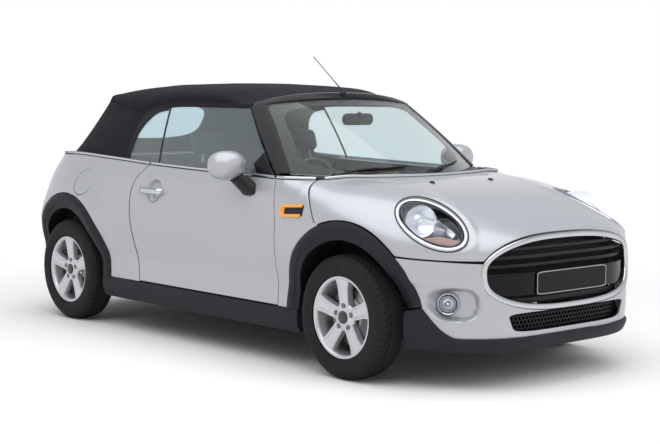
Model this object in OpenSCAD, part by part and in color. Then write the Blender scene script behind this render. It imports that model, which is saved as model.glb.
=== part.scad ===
/* [Overall] */
// Overall length, bumper to bumper
car_length = 3821; // [3800:1:3840]
// Height of the roof crown
car_height = 1438; // [1432:1:1444]
// Distance between the axles
wheelbase = 2495; // [2485:1:2505]
// Front axle to the front end
front_overhang = 760.5; // [755:0.5:768]
// Distance between the wheel planes of one axle
track = 1501; // [1495:1:1507]

/* [Body shape] */
// Station where the plan view is widest
mid_x = 200; // [150:5:250]
// Fullness of the nose corners in plan
nose_power = 4; // [3.6:0.1:4.4]
// Fullness of the tail corners in plan
tail_power = 8.5; // [7.5:0.1:9.5]
// How far the body swells over the wheels
flare_out = 45; // [40:1:48]
// Distance over which the swelling fades
flare_reach = 130; // [120:1:140]
// Height where the bonnet starts to curve over
waist_z = 600; // [595:1:604]
// Gap round doors, lids and the bonnet
shut_gap = 5; // [4:0.5:6]
// Gap between panels that never move
seam_gap = 0.4; // [0.3:0.1:0.8]
// Thickness of a bumper, wing or bonnet skin
skin_t = 12; // [10:1:14]
// Thickness of a body side
wall_t = 42; // [38:1:46]
// Thickness of a whole door
door_t = 105; // [95:1:110]

/* [Wheels] */
// Outside radius of a tyre
tyre_r = 304; // [300:1:306]
// Width of a tyre
tyre_w = 175; // [165:1:180]
// Radius of the bead seat of a rim
rim_r = 190; // [188:1:192]
// Number of spokes, and of bolts
spokes = 5; // [4:1:6]
// Circle of the wheel bolts
bolt_pcd = 112; // [108:1:114]
// Radius of the hub spindles
spindle_r = 25; // [22:0.5:28]
// Radial play of a turning pin in its bore
pin_play = 0.05; // [0.03:0.01:0.08]
// Radius of a brake disc
disc_r = 140; // [130:1:144]

/* [Wheel arches] */
// Half length of an arch trim outside, front axle
arch_front_rx = 430; // [425:1:440]
// Rise of an arch trim outside above the axle
arch_rz = 465; // [460:1:470]
// Half length of an arch trim outside, rear axle
arch_rear_rx = 450; // [440:1:455]
// Width of an arch trim
arch_band = 90; // [80:1:95]
// How far the arch trims stand out of the body
arch_proud = 16; // [12:1:18]

/* [Cabin] */
// Half width of the windscreen foot
screen_foot_y = 680; // [670:1:690]
// Half width of the windscreen head
screen_head_y = 520; // [514:1:526]
// Height of the window tops
rail_z = 1322; // [1316:1:1328]
// Half width at the window tops
rail_y = 585; // [578:1:592]
// Thickness of the hood cloth with its lining
cloth_t = 14; // [10:1:16]
// Thickness of the glass
glass_t = 5; // [4:0.5:6]

/* [Hidden] */

front_x = car_length / 2;
front_axle_x = front_x - front_overhang;
rear_axle_x = front_axle_x - wheelbase;
axle_z = tyre_r;
wheel_y = track / 2;
silver = [0.68, 0.69, 0.72];
charcoal = [0.2, 0.21, 0.23];
black = [0.07, 0.07, 0.08];
chrome = [0.85, 0.86, 0.88];
cloth = [0.1, 0.1, 0.12];
steel = [0.45, 0.46, 0.48];
clear = [0.6, 0.7, 0.75, 0.5];

// Half width of the body side: columns height, half width
side_table = [[150, 790], [300, 806], [400, 797], [520, 806], [630, 815], [760, 808], [880, 786], [960, 752], [1020, 728]];
// Set-back of the nose centreline from the front end: columns height, set-back
nose_table = [[150, 78], [240, 24], [330, 12], [420, 4], [520, 10], [600, 22]];
// Set-back of the tail centreline from the rear end: columns height, set-back
tail_table = [[180, 60], [300, 14], [420, 0], [540, 4], [640, 20], [740, 45], [840, 80], [940, 125], [1020, 170]];
// Crown of the bonnet: columns station ahead of the front end, height
bonnet_table = [[-1120, 966], [-980, 950], [-760, 938], [-360, 897], [-140, 866], [0, 845]];
// Cross-section fullness of the bonnet: columns station ahead of the front end, power
bonnet_power = [[-1120, 6.5], [-760, 4.8], [-300, 3], [0, 2.8]];
// Belt line: columns station, height
belt_table = [[-1760, 985], [-1420, 1004], [-1000, 992], [-470, 970], [570, 946], [820, 949]];
// Front edge of the door: columns height, station
door_front_table = [[290, 648], [640, 637], [800, 612], [940, 572]];
// Rear edge of the door: columns height, station
door_rear_table = [[290, -590], [500, -650], [680, -684], [810, -688], [900, -650], [980, -560]];
// Roof centreline: columns station, drop below the crown
roof_table = [[-1400, 74], [-1250, 36], [-1000, 10], [-700, 0], [-450, 0], [-150, 12], [100, 38], [280, 68]];
// Lower edge of the roof cloth: columns station, height, half width
roof_edge_table = [[-1330, 1336, 505], [-1100, 1304, 560], [-850, 1272, 592], [-700, 1304, 592], [-500, rail_z, rail_y + 4], [120, rail_z, rail_y]];

function mix(a, b, s) = a + (b - a) * s;

// Slope of a table at row i, from its neighbours
function row_slope(t, i) =
    let (a = max(i - 1, 0), b = min(i + 1, len(t) - 1)) (t[b][1] - t[a][1]) / (t[b][0] - t[a][0]);

// Row of a table that starts the span holding key k
function row_of(t, k, i = 0) = (i >= len(t) - 2 || k < t[i + 1][0]) ? i : row_of(t, k, i + 1);

// Smooth curve through the rows of a table
function curve(t, k) =
    let (i = row_of(t, k), h = t[i + 1][0] - t[i][0], s = min(1, max(0, (k - t[i][0]) / h)),
         p = t[i][1], q = t[i + 1][1], m = row_slope(t, i) * h, n = row_slope(t, i + 1) * h,
         a = s * s, b = a * s)
    (2 * b - 3 * a + 1) * p + (b - 2 * a + s) * m + (3 * a - 2 * b) * q + (b - a) * n;

// Unit super-ellipse point at angle b
function lame(b, m) =
    let (n = pow(pow(abs(cos(b)), m) + pow(abs(sin(b)), m), 1 / m)) [cos(b) / n, sin(b) / n];

function half_w(z) = curve(side_table, z);
function nose_x(z) = front_x - curve(nose_table, z);
function tail_x(z) = -front_x + curve(tail_table, z);
function belt_z(x) = curve(belt_table, x);
function bump(r) = exp(-pow((r - mix(arch_front_rx, arch_rz, 0.5)) / flare_reach, 2));
// Swelling of the body side over both wheels
function flare(x, z) =
    let (s = min(1, max(0, (z - 260) / 420)))
    flare_out * s * s * (3 - 2 * s) * (bump(norm([x - front_axle_x, z - axle_z])) + bump(norm([x - rear_axle_x, z - axle_z])));

// Point of the body below the waist, by plan angle from the nose or from the tail
function nose_point(b, z) =
    let (l = lame(b, nose_power), x = mid_x + (nose_x(z) - mid_x) * l[0])
    [x, (half_w(z) + flare(x, z)) * l[1], z];
function tail_point(b, z) =
    let (l = lame(b, tail_power), x = mid_x - (mid_x - tail_x(z)) * l[0])
    [x, (half_w(z) + flare(x, z)) * l[1], z];
function corner(t, m) = pow(max(0, 1 - pow(t, m)), 1 / m);
function nose_angle(x, z) =
    let (t = (x - mid_x) / (nose_x(z) - mid_x)) atan2(corner(t, nose_power), t);
function tail_angle(x, z) =
    let (t = (mid_x - x) / (mid_x - tail_x(z))) atan2(corner(t, tail_power), t);
function nose_angle_y(y, z) = let (s = y / half_w(z)) atan2(s, corner(s, nose_power));
function tail_angle_y(y, z) = let (s = y / half_w(z)) atan2(s, corner(s, tail_power));
// Half width of the body side at a station and height
function side_y(x, z) = x > mid_x ? nose_point(nose_angle(x, z), z)[1] : tail_point(tail_angle(x, z), z)[1];

// Bonnet above the waist: plan angle and radius to a point
bonnet_w = half_w(waist_z);
bonnet_l = nose_x(waist_z) - mid_x;
function crown_z(x) = curve(bonnet_table, x - front_x);
function dome(d, p) = pow(max(0, 1 - pow(min(d, 1), p)), 1 / p);
function bonnet_height(x, d) = waist_z + (crown_z(x) - waist_z) * dome(d, curve(bonnet_power, x - front_x));
function bonnet_point(b, d) =
    let (l = lame(b, nose_power), x = mid_x + bonnet_l * d * l[0], y = bonnet_w * d * l[1],
         z = bonnet_height(x, d), f = flare(x, z) * pow(min(1, abs(y) / bonnet_w), 2))
    [x, y + sign(y) * f, z];
// Plan angle and radius of a plan point, and of a side point
function plan_polar(x, y) =
    let (t = (x - mid_x) / bonnet_l, s = abs(y) / bonnet_w)
    [atan2(s, t), pow(pow(t, nose_power) + pow(s, nose_power), 1 / nose_power)];
function side_polar(x, z) =
    let (p = curve(bonnet_power, x - front_x), d = dome((z - waist_z) / (crown_z(x) - waist_z), p),
         t = (x - mid_x) / bonnet_l, s = pow(max(0, pow(d, nose_power) - pow(t, nose_power)), 1 / nose_power))
    [atan2(s, t), d];
// True where a point lies under the bonnet skin
function under_bonnet(p) =
    let (f = flare(p[0], p[2]) * pow(min(1, abs(p[1]) / bonnet_w), 2), q = plan_polar(p[0], max(0, abs(p[1]) - f)))
    q[1] < 1 && p[2] < bonnet_height(p[0], q[1]);
// Reach along direction a from point c to the bonnet skin
function skin_reach(c, a, lo = -300, hi = 300, n = 0) =
    n > 22 ? lo : let (m = (lo + hi) / 2) under_bonnet(c + a * m) ? skin_reach(c, a, m, hi, n + 1) : skin_reach(c, a, lo, m, n + 1);
// Station of the nose skin at a width and height
function skin_x(y, z) =
    z <= waist_z ? nose_point(nose_angle_y(abs(y), z), z)[0]
    : front_x - 300 + skin_reach([front_x - 300, y, z], [1, 0, 0]);

// Gap between an arch trim and the panels round it
arch_seam = 2.6;
// Half length of an arch curve at a height
function arch_dx(z, rx, rz) = z <= axle_z ? rx : rx * sqrt(max(0, 1 - pow((z - axle_z) / rz, 2)));

// Outward normal of a net at one point
function net_normal(g, i, j) =
    let (nu = len(g) - 1, nv = len(g[0]) - 1,
         a = g[min(i + 1, nu)][j] - g[max(i - 1, 0)][j],
         b = g[i][min(j + 1, nv)] - g[i][max(j - 1, 0)], c = cross(a, b))
    c / norm(c);
// A net moved along its normals
function offset_net(g, t) =
    [for (i = [0 : len(g) - 1]) [for (j = [0 : len(g[0]) - 1]) g[i][j] + t * net_normal(g, i, j)]];

// Closed panel between an outer and an inner net of points
module shell(outer, inner) {
    nu = len(outer) - 1;
    nv = len(outer[0]) - 1;
    n = (nu + 1) * (nv + 1);
    function o(i, j) = i * (nv + 1) + j;
    rim = [for (i = [0 : nu]) o(i, 0), for (j = [1 : nv]) o(nu, j),
           for (i = [nu - 1 : -1 : 0]) o(i, nv), for (j = [nv - 1 : -1 : 1]) o(0, j)];
    m = len(rim);
    skin = [for (i = [0 : nu - 1]) for (j = [0 : nv - 1])
            each [[o(i, j), o(i + 1, j + 1), o(i + 1, j)], [o(i, j), o(i, j + 1), o(i + 1, j + 1)]]];
    back = [for (f = skin) [f[0] + n, f[2] + n, f[1] + n]];
    wall = [for (k = [0 : m - 1]) let (a = rim[k], b = rim[(k + 1) % m])
            each [[a, b, a + n], [b, b + n, a + n]]];
    polyhedron([for (r = outer) each r, for (r = inner) each r], concat(skin, back, wall));
}
module slab(g, t) { shell(g, offset_net(g, -t)); }

// Closed tube through rings of points
module tube(rings, closed = true) {
    n = len(rings);
    m = len(rings[0]);
    last = closed ? n : n - 1;
    sides = [for (i = [0 : last - 1]) for (j = [0 : m - 1])
             let (a = i * m + j, b = i * m + (j + 1) % m, c = ((i + 1) % n) * m + j, d = ((i + 1) % n) * m + (j + 1) % m)
             each [[a, c, b], [b, c, d]]];
    ends = closed ? [] : [[for (j = [0 : m - 1]) j], [for (j = [m - 1 : -1 : 0]) (n - 1) * m + j]];
    polyhedron([for (r = rings) each r], concat(sides, ends));
}

module both() {
    children();
    mirror([0, 1, 0]) children();
}
// Prism along X from an outline in the transverse plane, and along Y from a side outline
module along_x(x0, x1) { translate([x0, 0, 0]) rotate([90, 0, 90]) linear_extrude(x1 - x0) children(); }
module along_y(y0, y1) { translate([0, y1, 0]) rotate([90, 0, 0]) linear_extrude(y1 - y0) children(); }
module block(x, y, z) { translate([x[0], y[0], z[0]]) cube([x[1] - x[0], y[1] - y[0], z[1] - z[0]]); }

// Underbody: floor, sills, tunnel and rails
floor_z = 205;
floor_t = 25;
sill_in = 600;
sill_x = [-850, 640];
firewall_x = 700;
seat_wall_x = -1010;
rail_in = 380;
rail_w = 70;
rear_house_in = 640;
house_r = 372;
house_t = 6;
house_hole = 110;
rail_x = 1660;
tail_wall_x = -1800;
front_house_in = rail_in + rail_w + seam_gap;
rail_h = 90;
rail_low = 430;
tunnel_x = -620;
sill_clips = [-600, 0, 500];
sill_clip_in = 31.6;
beam_top = 600;
beam_y = 600;
beam_h = 40;
sill_high = 300;
sill_w = 130;
boot_floor = rail_low + 10;
rear_rail_in = rail_in + 60;
wall_plate = 14;
// Jacking pads: stations, inner side, size and lower face
pad_x = [560, -780];
pad_y = 640;
pad_l = 80;
pad_w = 60;
pad_low = 185;
tunnel_foot = 130;
tunnel_crown = 90;
tunnel_top = 330;
tunnel_t = 15;
module floor_pan() {
    color(steel) {
        difference() {
            block([seat_wall_x, firewall_x], [-sill_in, sill_in], [floor_z, floor_z + floor_t]);
            block([tunnel_x, firewall_x + 1], [-tunnel_foot - seam_gap, tunnel_foot + seam_gap],
                [floor_z - 1, floor_z + floor_t + 1]);
        }
        block([seat_wall_x - wall_plate, seat_wall_x + 1], [-sill_in, sill_in], [floor_z, boot_floor]);
    }
}
module floor_tunnel() {
    inner = tunnel_crown - tunnel_t;
    color(steel) along_x(tunnel_x + seam_gap, firewall_x) difference() {
        polygon([[-tunnel_foot, floor_z], [-tunnel_crown, tunnel_top], [tunnel_crown, tunnel_top], [tunnel_foot, floor_z]]);
        polygon([[-tunnel_foot + tunnel_t, floor_z - 1], [-inner, tunnel_top - tunnel_t],
            [inner, tunnel_top - tunnel_t], [tunnel_foot - tunnel_t, floor_z - 1]]);
    }
}
module floor_sills() {
    color(steel) both() {
        block(sill_x, [sill_in + seam_gap, sill_in + sill_w], [floor_z, sill_high]);
        for (x = pad_x) block([x - pad_l / 2, x + pad_l / 2], [pad_y, pad_y + pad_w], [pad_low, floor_z + 1]);
        for (x = sill_clips)
            block([x - 25, x + 25], [sill_in + sill_w - 1, side_y(x, 250) - sill_clip_in], [235, 265]);
    }
}
module front_rails() {
    rail_y0 = [rail_in, rail_in + rail_w];
    color(steel) {
        both() {
            block([firewall_x - 80, rail_x], rail_y0, [rail_low, rail_low + rail_h]);
            block([firewall_x - 80, firewall_x], rail_y0, [floor_z + floor_t + seam_gap, rail_low + 1]);
            block([rail_x - 50, rail_x], rail_y0, [rail_low + rail_h - 1, beam_top]);
        }
        block([rail_x - 50, rail_x], [-beam_y, beam_y], [beam_top - beam_h, beam_top]);
    }
}
module rear_floor() {
    x1 = seat_wall_x - wall_plate - seam_gap;
    rail_out = rear_rail_in + rail_w;
    color(steel) {
        both() {
            block([tail_wall_x, x1], [rear_rail_in, rail_out], [rail_low - 60, boot_floor]);
            block([rear_axle_x - 60, rear_axle_x + 60], [rail_out - 1, rear_house_in - seam_gap], [rail_low - 20, boot_floor]);
            block([-front_x + skin_t + 7.4, tail_wall_x + 1], [rail_out - 20, rail_out], [boot_floor - 40, boot_floor]);
        }
        block([tail_wall_x, x1], [-rear_rail_in - 1, rear_rail_in + 1], [boot_floor - 20, boot_floor]);
    }
}

// Transverse walls: firewall and seat wall
function wall_edge(x, top, low, inset) =
    [for (i = [0 : 8]) let (z = mix(low, top, i / 8)) [(x > 0 ? wing_y(x, z) : side_y(x, z)) - inset, z]];
module transverse_wall(x, top, low, inset) {
    edge = wall_edge(x, top, low, inset);
    along_x(x, x + wall_plate) polygon(concat(edge, [for (i = [8 : -1 : 0]) [-edge[i][0], edge[i][1]]]));
}
cowl_z = 900;
// Door hinges: axis in plan, heights of the two hinges, pin and eye
hinge_c = [672, 802];
hinge_heights = [545, 630];
hinge_pin_r = 4;
hinge_eye_r = 8;
hinge_h = 30;
// Bonnet hinge axis in side view, and its distance from the middle
bonnet_axis = [740, 905];
bonnet_hinge_y = 655;
eye_w = 18;
bonnet_eye_r = 11;
shelf_x = 822;
shelf_y = 590;
shelf_t = 12;
ear_t = 14;
module door_hinge_pin(z) {
    block([hinge_c[0] - 7, firewall_x + 2], [hinge_c[1] - 12, hinge_c[1] + 6],
        [z - hinge_h / 2 - ear_t - 1, z - hinge_h / 2 - 1]);
    translate([hinge_c[0], hinge_c[1], z - hinge_h / 2 - 2]) cylinder(h = hinge_h + 6, r = hinge_pin_r);
}
module bonnet_hinge_pin() {
    y = bonnet_hinge_y - eye_w / 2 - 1;
    block([firewall_x + 2, bonnet_axis[0] + 12], [y - 16, y], [cowl_z - 60, bonnet_axis[1] + 12]);
    translate([bonnet_axis[0], y - 1, bonnet_axis[1]]) rotate([-90, 0, 0]) cylinder(h = eye_w + 6, r = hinge_pin_r);
}
module bulkheads() {
    x1 = firewall_x + seam_gap;
    x2 = seat_wall_x - wall_plate - seam_gap;
    color(steel) {
        difference() {
            union() {
                transverse_wall(x1, cowl_z, sill_top + 1, skin_t + 6.5 * seam_gap);
                block([x1, x1 + wall_plate], [-pad_y - 90, pad_y + 90], [floor_z, sill_top + 2]);
                block([x1, shelf_x], [-shelf_y, shelf_y], [cowl_z - shelf_t, cowl_z]);
                both() {
                    for (z = hinge_heights) door_hinge_pin(z);
                    bonnet_hinge_pin();
                }
            }
            both() block([firewall_x - 100, firewall_x + 100], [rail_in - seam_gap, rail_in + rail_w + seam_gap],
                [rail_low - seam_gap, rail_low + rail_h + seam_gap]);
        }
        difference() {
            transverse_wall(x2, 930, boot_floor + seam_gap, wall_t + 14);
            both() block([x2 - 1, x2 + wall_plate + 1], [rear_house_in - house_t - 1, 900], [0, 520]);
        }
    }
}

// Inner wheel arches
module wheel_house(x, y0, y1) {
    translate([x, y1, axle_z]) rotate([90, 0, 0]) {
        rotate_extrude(angle = 180) translate([house_r, 0]) square([house_t, y1 - y0]);
        translate([0, 0, y1 - y0]) rotate_extrude(angle = 180)
            translate([house_hole, -house_t]) square([house_r + house_t - house_hole, house_t]);
    }
}
module wheel_houses() {
    color(black) both() {
        difference() {
            wheel_house(front_axle_x, front_house_in, 670);
            translate([front_axle_x, strut_y, axle_z]) cylinder(h = 600, r = 62);
            block([front_axle_x - 250, front_axle_x + 250], [front_house_in - 20, front_house_in + 20], [axle_z - 1, axle_z + 100]);
        }
        wheel_house(rear_axle_x, rear_house_in, 690);
    }
}

module engine() {
    color([0.3, 0.3, 0.32]) {
        hull() {
            block([930, 1480], [-330, 330], [330, 700]);
            block([990, 1400], [-300, 300], [300, 820]);
        }
        both() block([1100, 1200], [320, rail_in - seam_gap], [rail_low + 10, rail_low + rail_h - 10]);
    }
}

// Front running gear: struts, lower arms and subframe
kingpin_y = 690;
strut_y = 560;
ball_low = 190;
ball_high = 425;
ball_r = 12;
eye_r = 28;
arm_t = 22;
module front_suspension() {
    color(steel) {
        difference() {
            union() {
                both() {
                    translate([front_axle_x, 0, ball_low - arm_t / 2]) linear_extrude(arm_t)
                        polygon([[-30, kingpin_y - 20], [30, kingpin_y - 20], [60, 500], [180, 330], [-260, 330], [-80, 480]]);
                    translate([front_axle_x, kingpin_y, ball_low - arm_t / 2]) cylinder(h = arm_t, r = eye_r);
                    translate([front_axle_x, kingpin_y, ball_high - arm_t / 2]) cylinder(h = arm_t, r = eye_r);
                    block([front_axle_x - 25, front_axle_x + 25], [strut_y, kingpin_y], [ball_high - arm_t / 2, ball_high + arm_t / 2]);
                    translate([front_axle_x, strut_y, ball_high - 40]) cylinder(h = 340, r = 26);
                    translate([front_axle_x, strut_y, 620]) cylinder(h = 190, r = 55);
                    translate([front_axle_x, strut_y, 810]) cylinder(h = 20, r = 75);
                    block([front_axle_x - 40, front_axle_x + 40], [rail_in + rail_w - 20, strut_y], [790, 815]);
                    block([front_axle_x - 40, front_axle_x + 40], [rail_in + 5, rail_in + rail_w - 5], [rail_low + rail_h, 815]);
                }
                block([front_axle_x - 260, front_axle_x + 180], [-340, 340], [ball_low - arm_t / 2, ball_low + 30]);
                both() block([front_axle_x - 260, front_axle_x - 190], [330, rail_in + 60], [ball_low - arm_t / 2, ball_low + 30]);
                both() block([front_axle_x - 260, front_axle_x - 190], [rail_in + 5, rail_in + 60], [ball_low, rail_low]);
                translate([front_axle_x - 200, -430, 262]) rotate([-90, 0, 0]) cylinder(h = 860, r = 24);
            }
            both() {
                translate([front_axle_x, kingpin_y, 0]) cylinder(h = 600, r = ball_r + pin_play);
            }
        }
    }
}

// Rear running gear: cross beam, trailing arms, springs and stub axles
beam_x = 230;
module rear_suspension() {
    color(steel) {
        translate([rear_axle_x + beam_x, -600, axle_z - 20]) rotate([-90, 0, 0]) cylinder(h = 1200, r = 38);
        both() {
            block([rear_axle_x - 40, rear_axle_x + beam_x + 40], [540, 600], [axle_z - 45, axle_z + 35]);
            block([rear_axle_x - 45, rear_axle_x + 45], [599, 640], [axle_z - 60, axle_z + 60]);
            translate([rear_axle_x, 639, axle_z]) rotate([-90, 0, 0]) cylinder(h = wheel_y + 18 - 639, r = spindle_r);
            translate([rear_axle_x + 120, 475, axle_z + 20]) cylinder(h = rail_low - 60 - axle_z - 20, r = 50);
            block([rear_axle_x + 80, rear_axle_x + 160], [470, 541], [axle_z - 30, axle_z + 21]);
        }
    }
}

muffler_c = [-1790, -330, 275];
module exhaust() {
    color([0.55, 0.55, 0.57]) difference() {
        union() {
            translate(muffler_c) rotate([0, 90, 0]) cylinder(h = 330, r = 80);
            translate(muffler_c + [-105, 0, -70]) rotate([0, 90, 0]) cylinder(h = 125, r = 28);
            block([-1640, -1600], [-345, -315], [muffler_c[2] + 70, boot_floor - 20]);
        }
        translate(muffler_c + [-106, 0, -70]) rotate([0, 90, 0]) cylinder(h = 80, r = 24);
    }
}

// Nose: bumper with its apertures, skirt, grille
skirt_top = 252;
skirt_low = 190;
skirt_rise = 134;
skirt_proud = 18;
skirt_t = 30;
ring_hw = 528;
ring_z = 545;
ring_up = 160;
ring_dn = 165;
ring_power = 2.7;
ring_r = 15;
ring_rings = 44;
ring_back = 8;
ring_depth = 12;
function ring_outline(a, off) =
    let (l = lame(a, ring_power)) [(ring_hw + off) * l[0], ring_z + ((l[1] > 0 ? ring_up : ring_dn) + off) * l[1]];
function ring_edge(off) = [for (i = [0 : ring_rings - 1]) ring_outline(i * 360 / ring_rings, off)];
function intake_edge(off) =
    [[-430 - off, 368 + off], [430 + off, 368 + off], [395 + off, 275 - off], [-395 - off, 275 - off]];
fog_c = [1688, 645, 414];
fog_r = 52;
fog_dir = [0, 78, 40];
function shut_z(u) = waist_z + 22 * pow(u, 4);
function bumper_edge(z) = nose_angle(front_axle_x + arch_dx(z, arch_front_rx + arch_seam, arch_rz + arch_seam), z);
function skirt_edge(u) = skirt_top + skirt_rise * pow(max(0, (abs(u) - 0.86) / 0.14), 2);
function bumper_net() =
    [for (i = [-12 : 12]) [for (j = [0 : 5])
        let (u = i / 12, z = mix(skirt_edge(u), shut_z(u) - shut_gap, j / 5)) nose_point(u * bumper_edge(z), z)]];
// Skirt section: columns share of the height, share of the stand-out
skirt_table = [[0, 0.55], [0.12, 0.95], [0.5, 1], [0.9, 0.8], [1, 0.05]];
skirt_turn = 0.8;
// Skirt by share u of its sweep: beyond the bumper it runs on into the wheel arch
function skirt_angle(u, z) =
    let (a = abs(u), e = bumper_edge(z), s = max(0, a - skirt_turn) / (1 - skirt_turn))
    sign(u) * (a <= skirt_turn ? e * a / skirt_turn
        : mix(e, nose_angle(front_axle_x + arch_front_rx - arch_band, z), s));
function skirt_high(u) =
    let (a = abs(u)) a <= skirt_turn ? skirt_edge(a / skirt_turn)
    : skirt_top + skirt_rise - 18 * (a - skirt_turn) / (1 - skirt_turn);
function skirt_net() =
    [for (i = [-15 : 15]) [for (r = skirt_table)
        let (u = i / 15, z = mix(skirt_low, skirt_high(u) - seam_gap, r[0]), b = skirt_angle(u, z),
             p = nose_point(b, z), l = lame(b, nose_power),
             d = [pow(abs(l[0]), nose_power - 1) / bonnet_l, sign(l[1]) * pow(abs(l[1]), nose_power - 1) / bonnet_w])
        p + skirt_proud * r[1] * [d[0], d[1], 0] / norm(d)]];
module front_bumper() {
    color(silver) difference() {
        slab(bumper_net(), skin_t);
        along_x(front_x - 400, front_x + 100) polygon(ring_edge(ring_r + seam_gap));
        along_x(front_x - 400, front_x + 100) polygon(intake_edge(0));
        both() translate(fog_c) rotate(fog_dir) translate([0, 0, -100]) cylinder(h = 200, r = fog_r + seam_gap);
    }
}
module front_skirt() {
    color(charcoal) slab(skirt_net(), skirt_t);
}
module grille_ring() {
    rings = [for (i = [0 : ring_rings - 1])
        let (a = i * 360 / ring_rings, c = ring_outline(a, 0), x = skin_x(c[0], c[1]))
        [for (k = [0 : 5]) let (q = -k * 60, p = ring_outline(a, ring_r * cos(q)))
            [x - ring_back + ring_depth * sin(q), p[0], p[1]]]];
    color(chrome) tube(rings);
}
// Curved bar behind the grille opening: rows height, depth behind the skin
module nose_bar(z0, z1, hw, depth, t) {
    n = 16;
    zc = (z0 + z1) / 2;
    front = [for (i = [0 : n]) let (y = mix(-hw, hw, i / n)) [skin_x(y, min(zc, waist_z)) - depth, y]];
    translate([0, 0, z0]) linear_extrude(z1 - z0)
        polygon(concat(front, [for (i = [n : -1 : 0]) front[i] - [t, 0]]));
}
// Grille bars: columns lower edge, upper edge, half width, depth behind the skin
bar_table = [[404, 434, 430, 44], [452, 548, ring_hw - 66, 16], [572, 590, 470, 50], [612, 630, 440, 76], [652, 668, 380, 110]];
bar_t = 40;
intake_lap = 8;
rib_y = [150, 400];
rib_t = 12;
rib_x = 1690;
module grilles() {
    color(black) {
        union() {
            both() for (y = rib_y) block([rail_x, rib_x], [y, y + rib_t], [404, 668]);
            for (r = bar_table) {
                nose_bar(r[0], r[1], r[2], r[3], bar_t);
                both() for (y = rib_y) if (y + rib_t < r[2])
                    block([rib_x - 1, skin_x(y, min(mix(r[0], r[1], 0.5), waist_z)) - r[3] - bar_t / 2], [y, y + rib_t], [r[0] + 4, r[1] - 4]);
            }
            both() for (y = rib_y) if (y < 390) block([rail_x, skin_x(y, 310) - skin_t - 30], [y, y + rib_t], [290, 420]);
        }
        nose_bar(275 - intake_lap, 368 + intake_lap, 405, skin_t + 16, 16);
    }
}

// Lamps
lamp_c = [1550, 620, 775];
lamp_az = 45.6;
lamp_el = 5.2;
lamp_roll = 28.5;
lamp_r1 = 190;
lamp_r2 = 110;
lamp_rim = 26;
lamp_steps = 32;
lamp_a = [cos(lamp_el) * cos(lamp_az), cos(lamp_el) * sin(lamp_az), sin(lamp_el)];
lamp_h = [-sin(lamp_az), cos(lamp_az), 0];
lamp_v = cross(lamp_a, lamp_h);
lamp_e1 = lamp_h * cos(lamp_roll) + lamp_v * sin(lamp_roll);
lamp_e2 = lamp_v * cos(lamp_roll) - lamp_h * sin(lamp_roll);
function lamp_point(a, off, k) =
    let (c = lamp_c + lamp_e1 * (lamp_r1 + off) * cos(a) + lamp_e2 * (lamp_r2 + off) * sin(a))
    c + lamp_a * (skin_reach(c, lamp_a) + k);
function lamp_ellipse(off) =
    [for (i = [0 : lamp_steps - 1]) let (a = i * 360 / lamp_steps) [(lamp_r1 + off) * cos(a), (lamp_r2 + off) * sin(a)]];
// Places its child with Z along the lamp axis
module lamp_frame() {
    m = [for (k = [0 : 2]) [lamp_e1[k], lamp_e2[k], lamp_a[k], lamp_c[k]]];
    multmatrix(concat(m, [[0, 0, 0, 1]])) children();
}
module headlamp_rings() {
    color(chrome) both() {
        rings = [for (i = [0 : lamp_steps - 1]) let (a = i * 360 / lamp_steps)
            [lamp_point(a, -seam_gap, 2), lamp_point(a, -lamp_rim * 0.5, 8), lamp_point(a, -lamp_rim, 0),
             lamp_point(a, -lamp_rim, -skin_t + 2), lamp_point(a, -seam_gap, -skin_t + 2)]];
        tube([for (i = [lamp_steps - 1 : -1 : 0]) rings[i]]);
    }
}
// Lamp pod rings from back to front: columns scale of the opening, depth behind the skin
pod_table = [[0.9, 150], [0.97, 26], [0.9, 24], [0.6, 21], [0.2, 20]];
function lamp_inside(a, k, back) =
    let (c = lamp_c + lamp_e1 * (lamp_r1 - lamp_rim - shut_gap) * k * cos(a) + lamp_e2 * (lamp_r2 - lamp_rim - shut_gap) * k * sin(a))
    c + lamp_a * (back > 100 ? -back : skin_reach(c, lamp_a) - back);
module headlamps() {
    color([0.75, 0.77, 0.8]) both() {
        tube([for (r = pod_table) [for (i = [0 : lamp_steps - 1]) lamp_inside(i * 360 / lamp_steps, r[0], r[1])]], false);
        block([rail_x - 45, rail_x - 5], [520, beam_y - 10], [beam_top + seam_gap, 720]);
    }
}
module fog_lamps() {
    color(chrome) both() translate(fog_c) rotate(fog_dir) {
        translate([0, 0, -70]) cylinder(h = 66, r = fog_r);
        translate([0, 0, -5]) cylinder(h = 8, r = fog_r - 12);
    }
}

// Front wings between door, arch and bonnet seam
seam_low = [985, 743];
seam_high = [805, 946];
function wing_front(z) =
    z < seam_low[1] ? front_axle_x - arch_dx(z, arch_front_rx + arch_seam, arch_rz + arch_seam)
    : mix(seam_low[0], seam_high[0], (z - seam_low[1]) / (seam_high[1] - seam_low[1])) - 2.4 * shut_gap;
sill_top = 303;
function upper_y(x, z) = let (q = side_polar(x, z)) bonnet_point(q[0], q[1])[1];
function wing_y(x, z) = mix(side_y(x, z), z > waist_z ? upper_y(x, z) : side_y(x, z), min(1, max(0, (x - 640) / 160)));
function wing_net() =
    [for (i = [0 : 5]) [for (j = [0 : 12])
        let (z = mix(sill_top, seam_high[1], j / 12), x = mix(wing_front(z), curve(door_front_table, z) + shut_gap, i / 5))
        [x, wing_y(x, z), z]]];
module front_wings() {
    color(silver) both() slab(wing_net(), skin_t);
}
module side_indicators() {
    color([0.95, 0.5, 0.08]) both() {
        z = 795;
        g = [for (i = [0 : 5]) [for (j = [0 : 3]) let (x = mix(850, 660, i / 5), zz = z + mix(-32, 32, j / 3)) [x, wing_y(x, zz), zz]]];
        shell(offset_net(g, 14), offset_net(g, 3.5 * seam_gap));
    }
}

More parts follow.
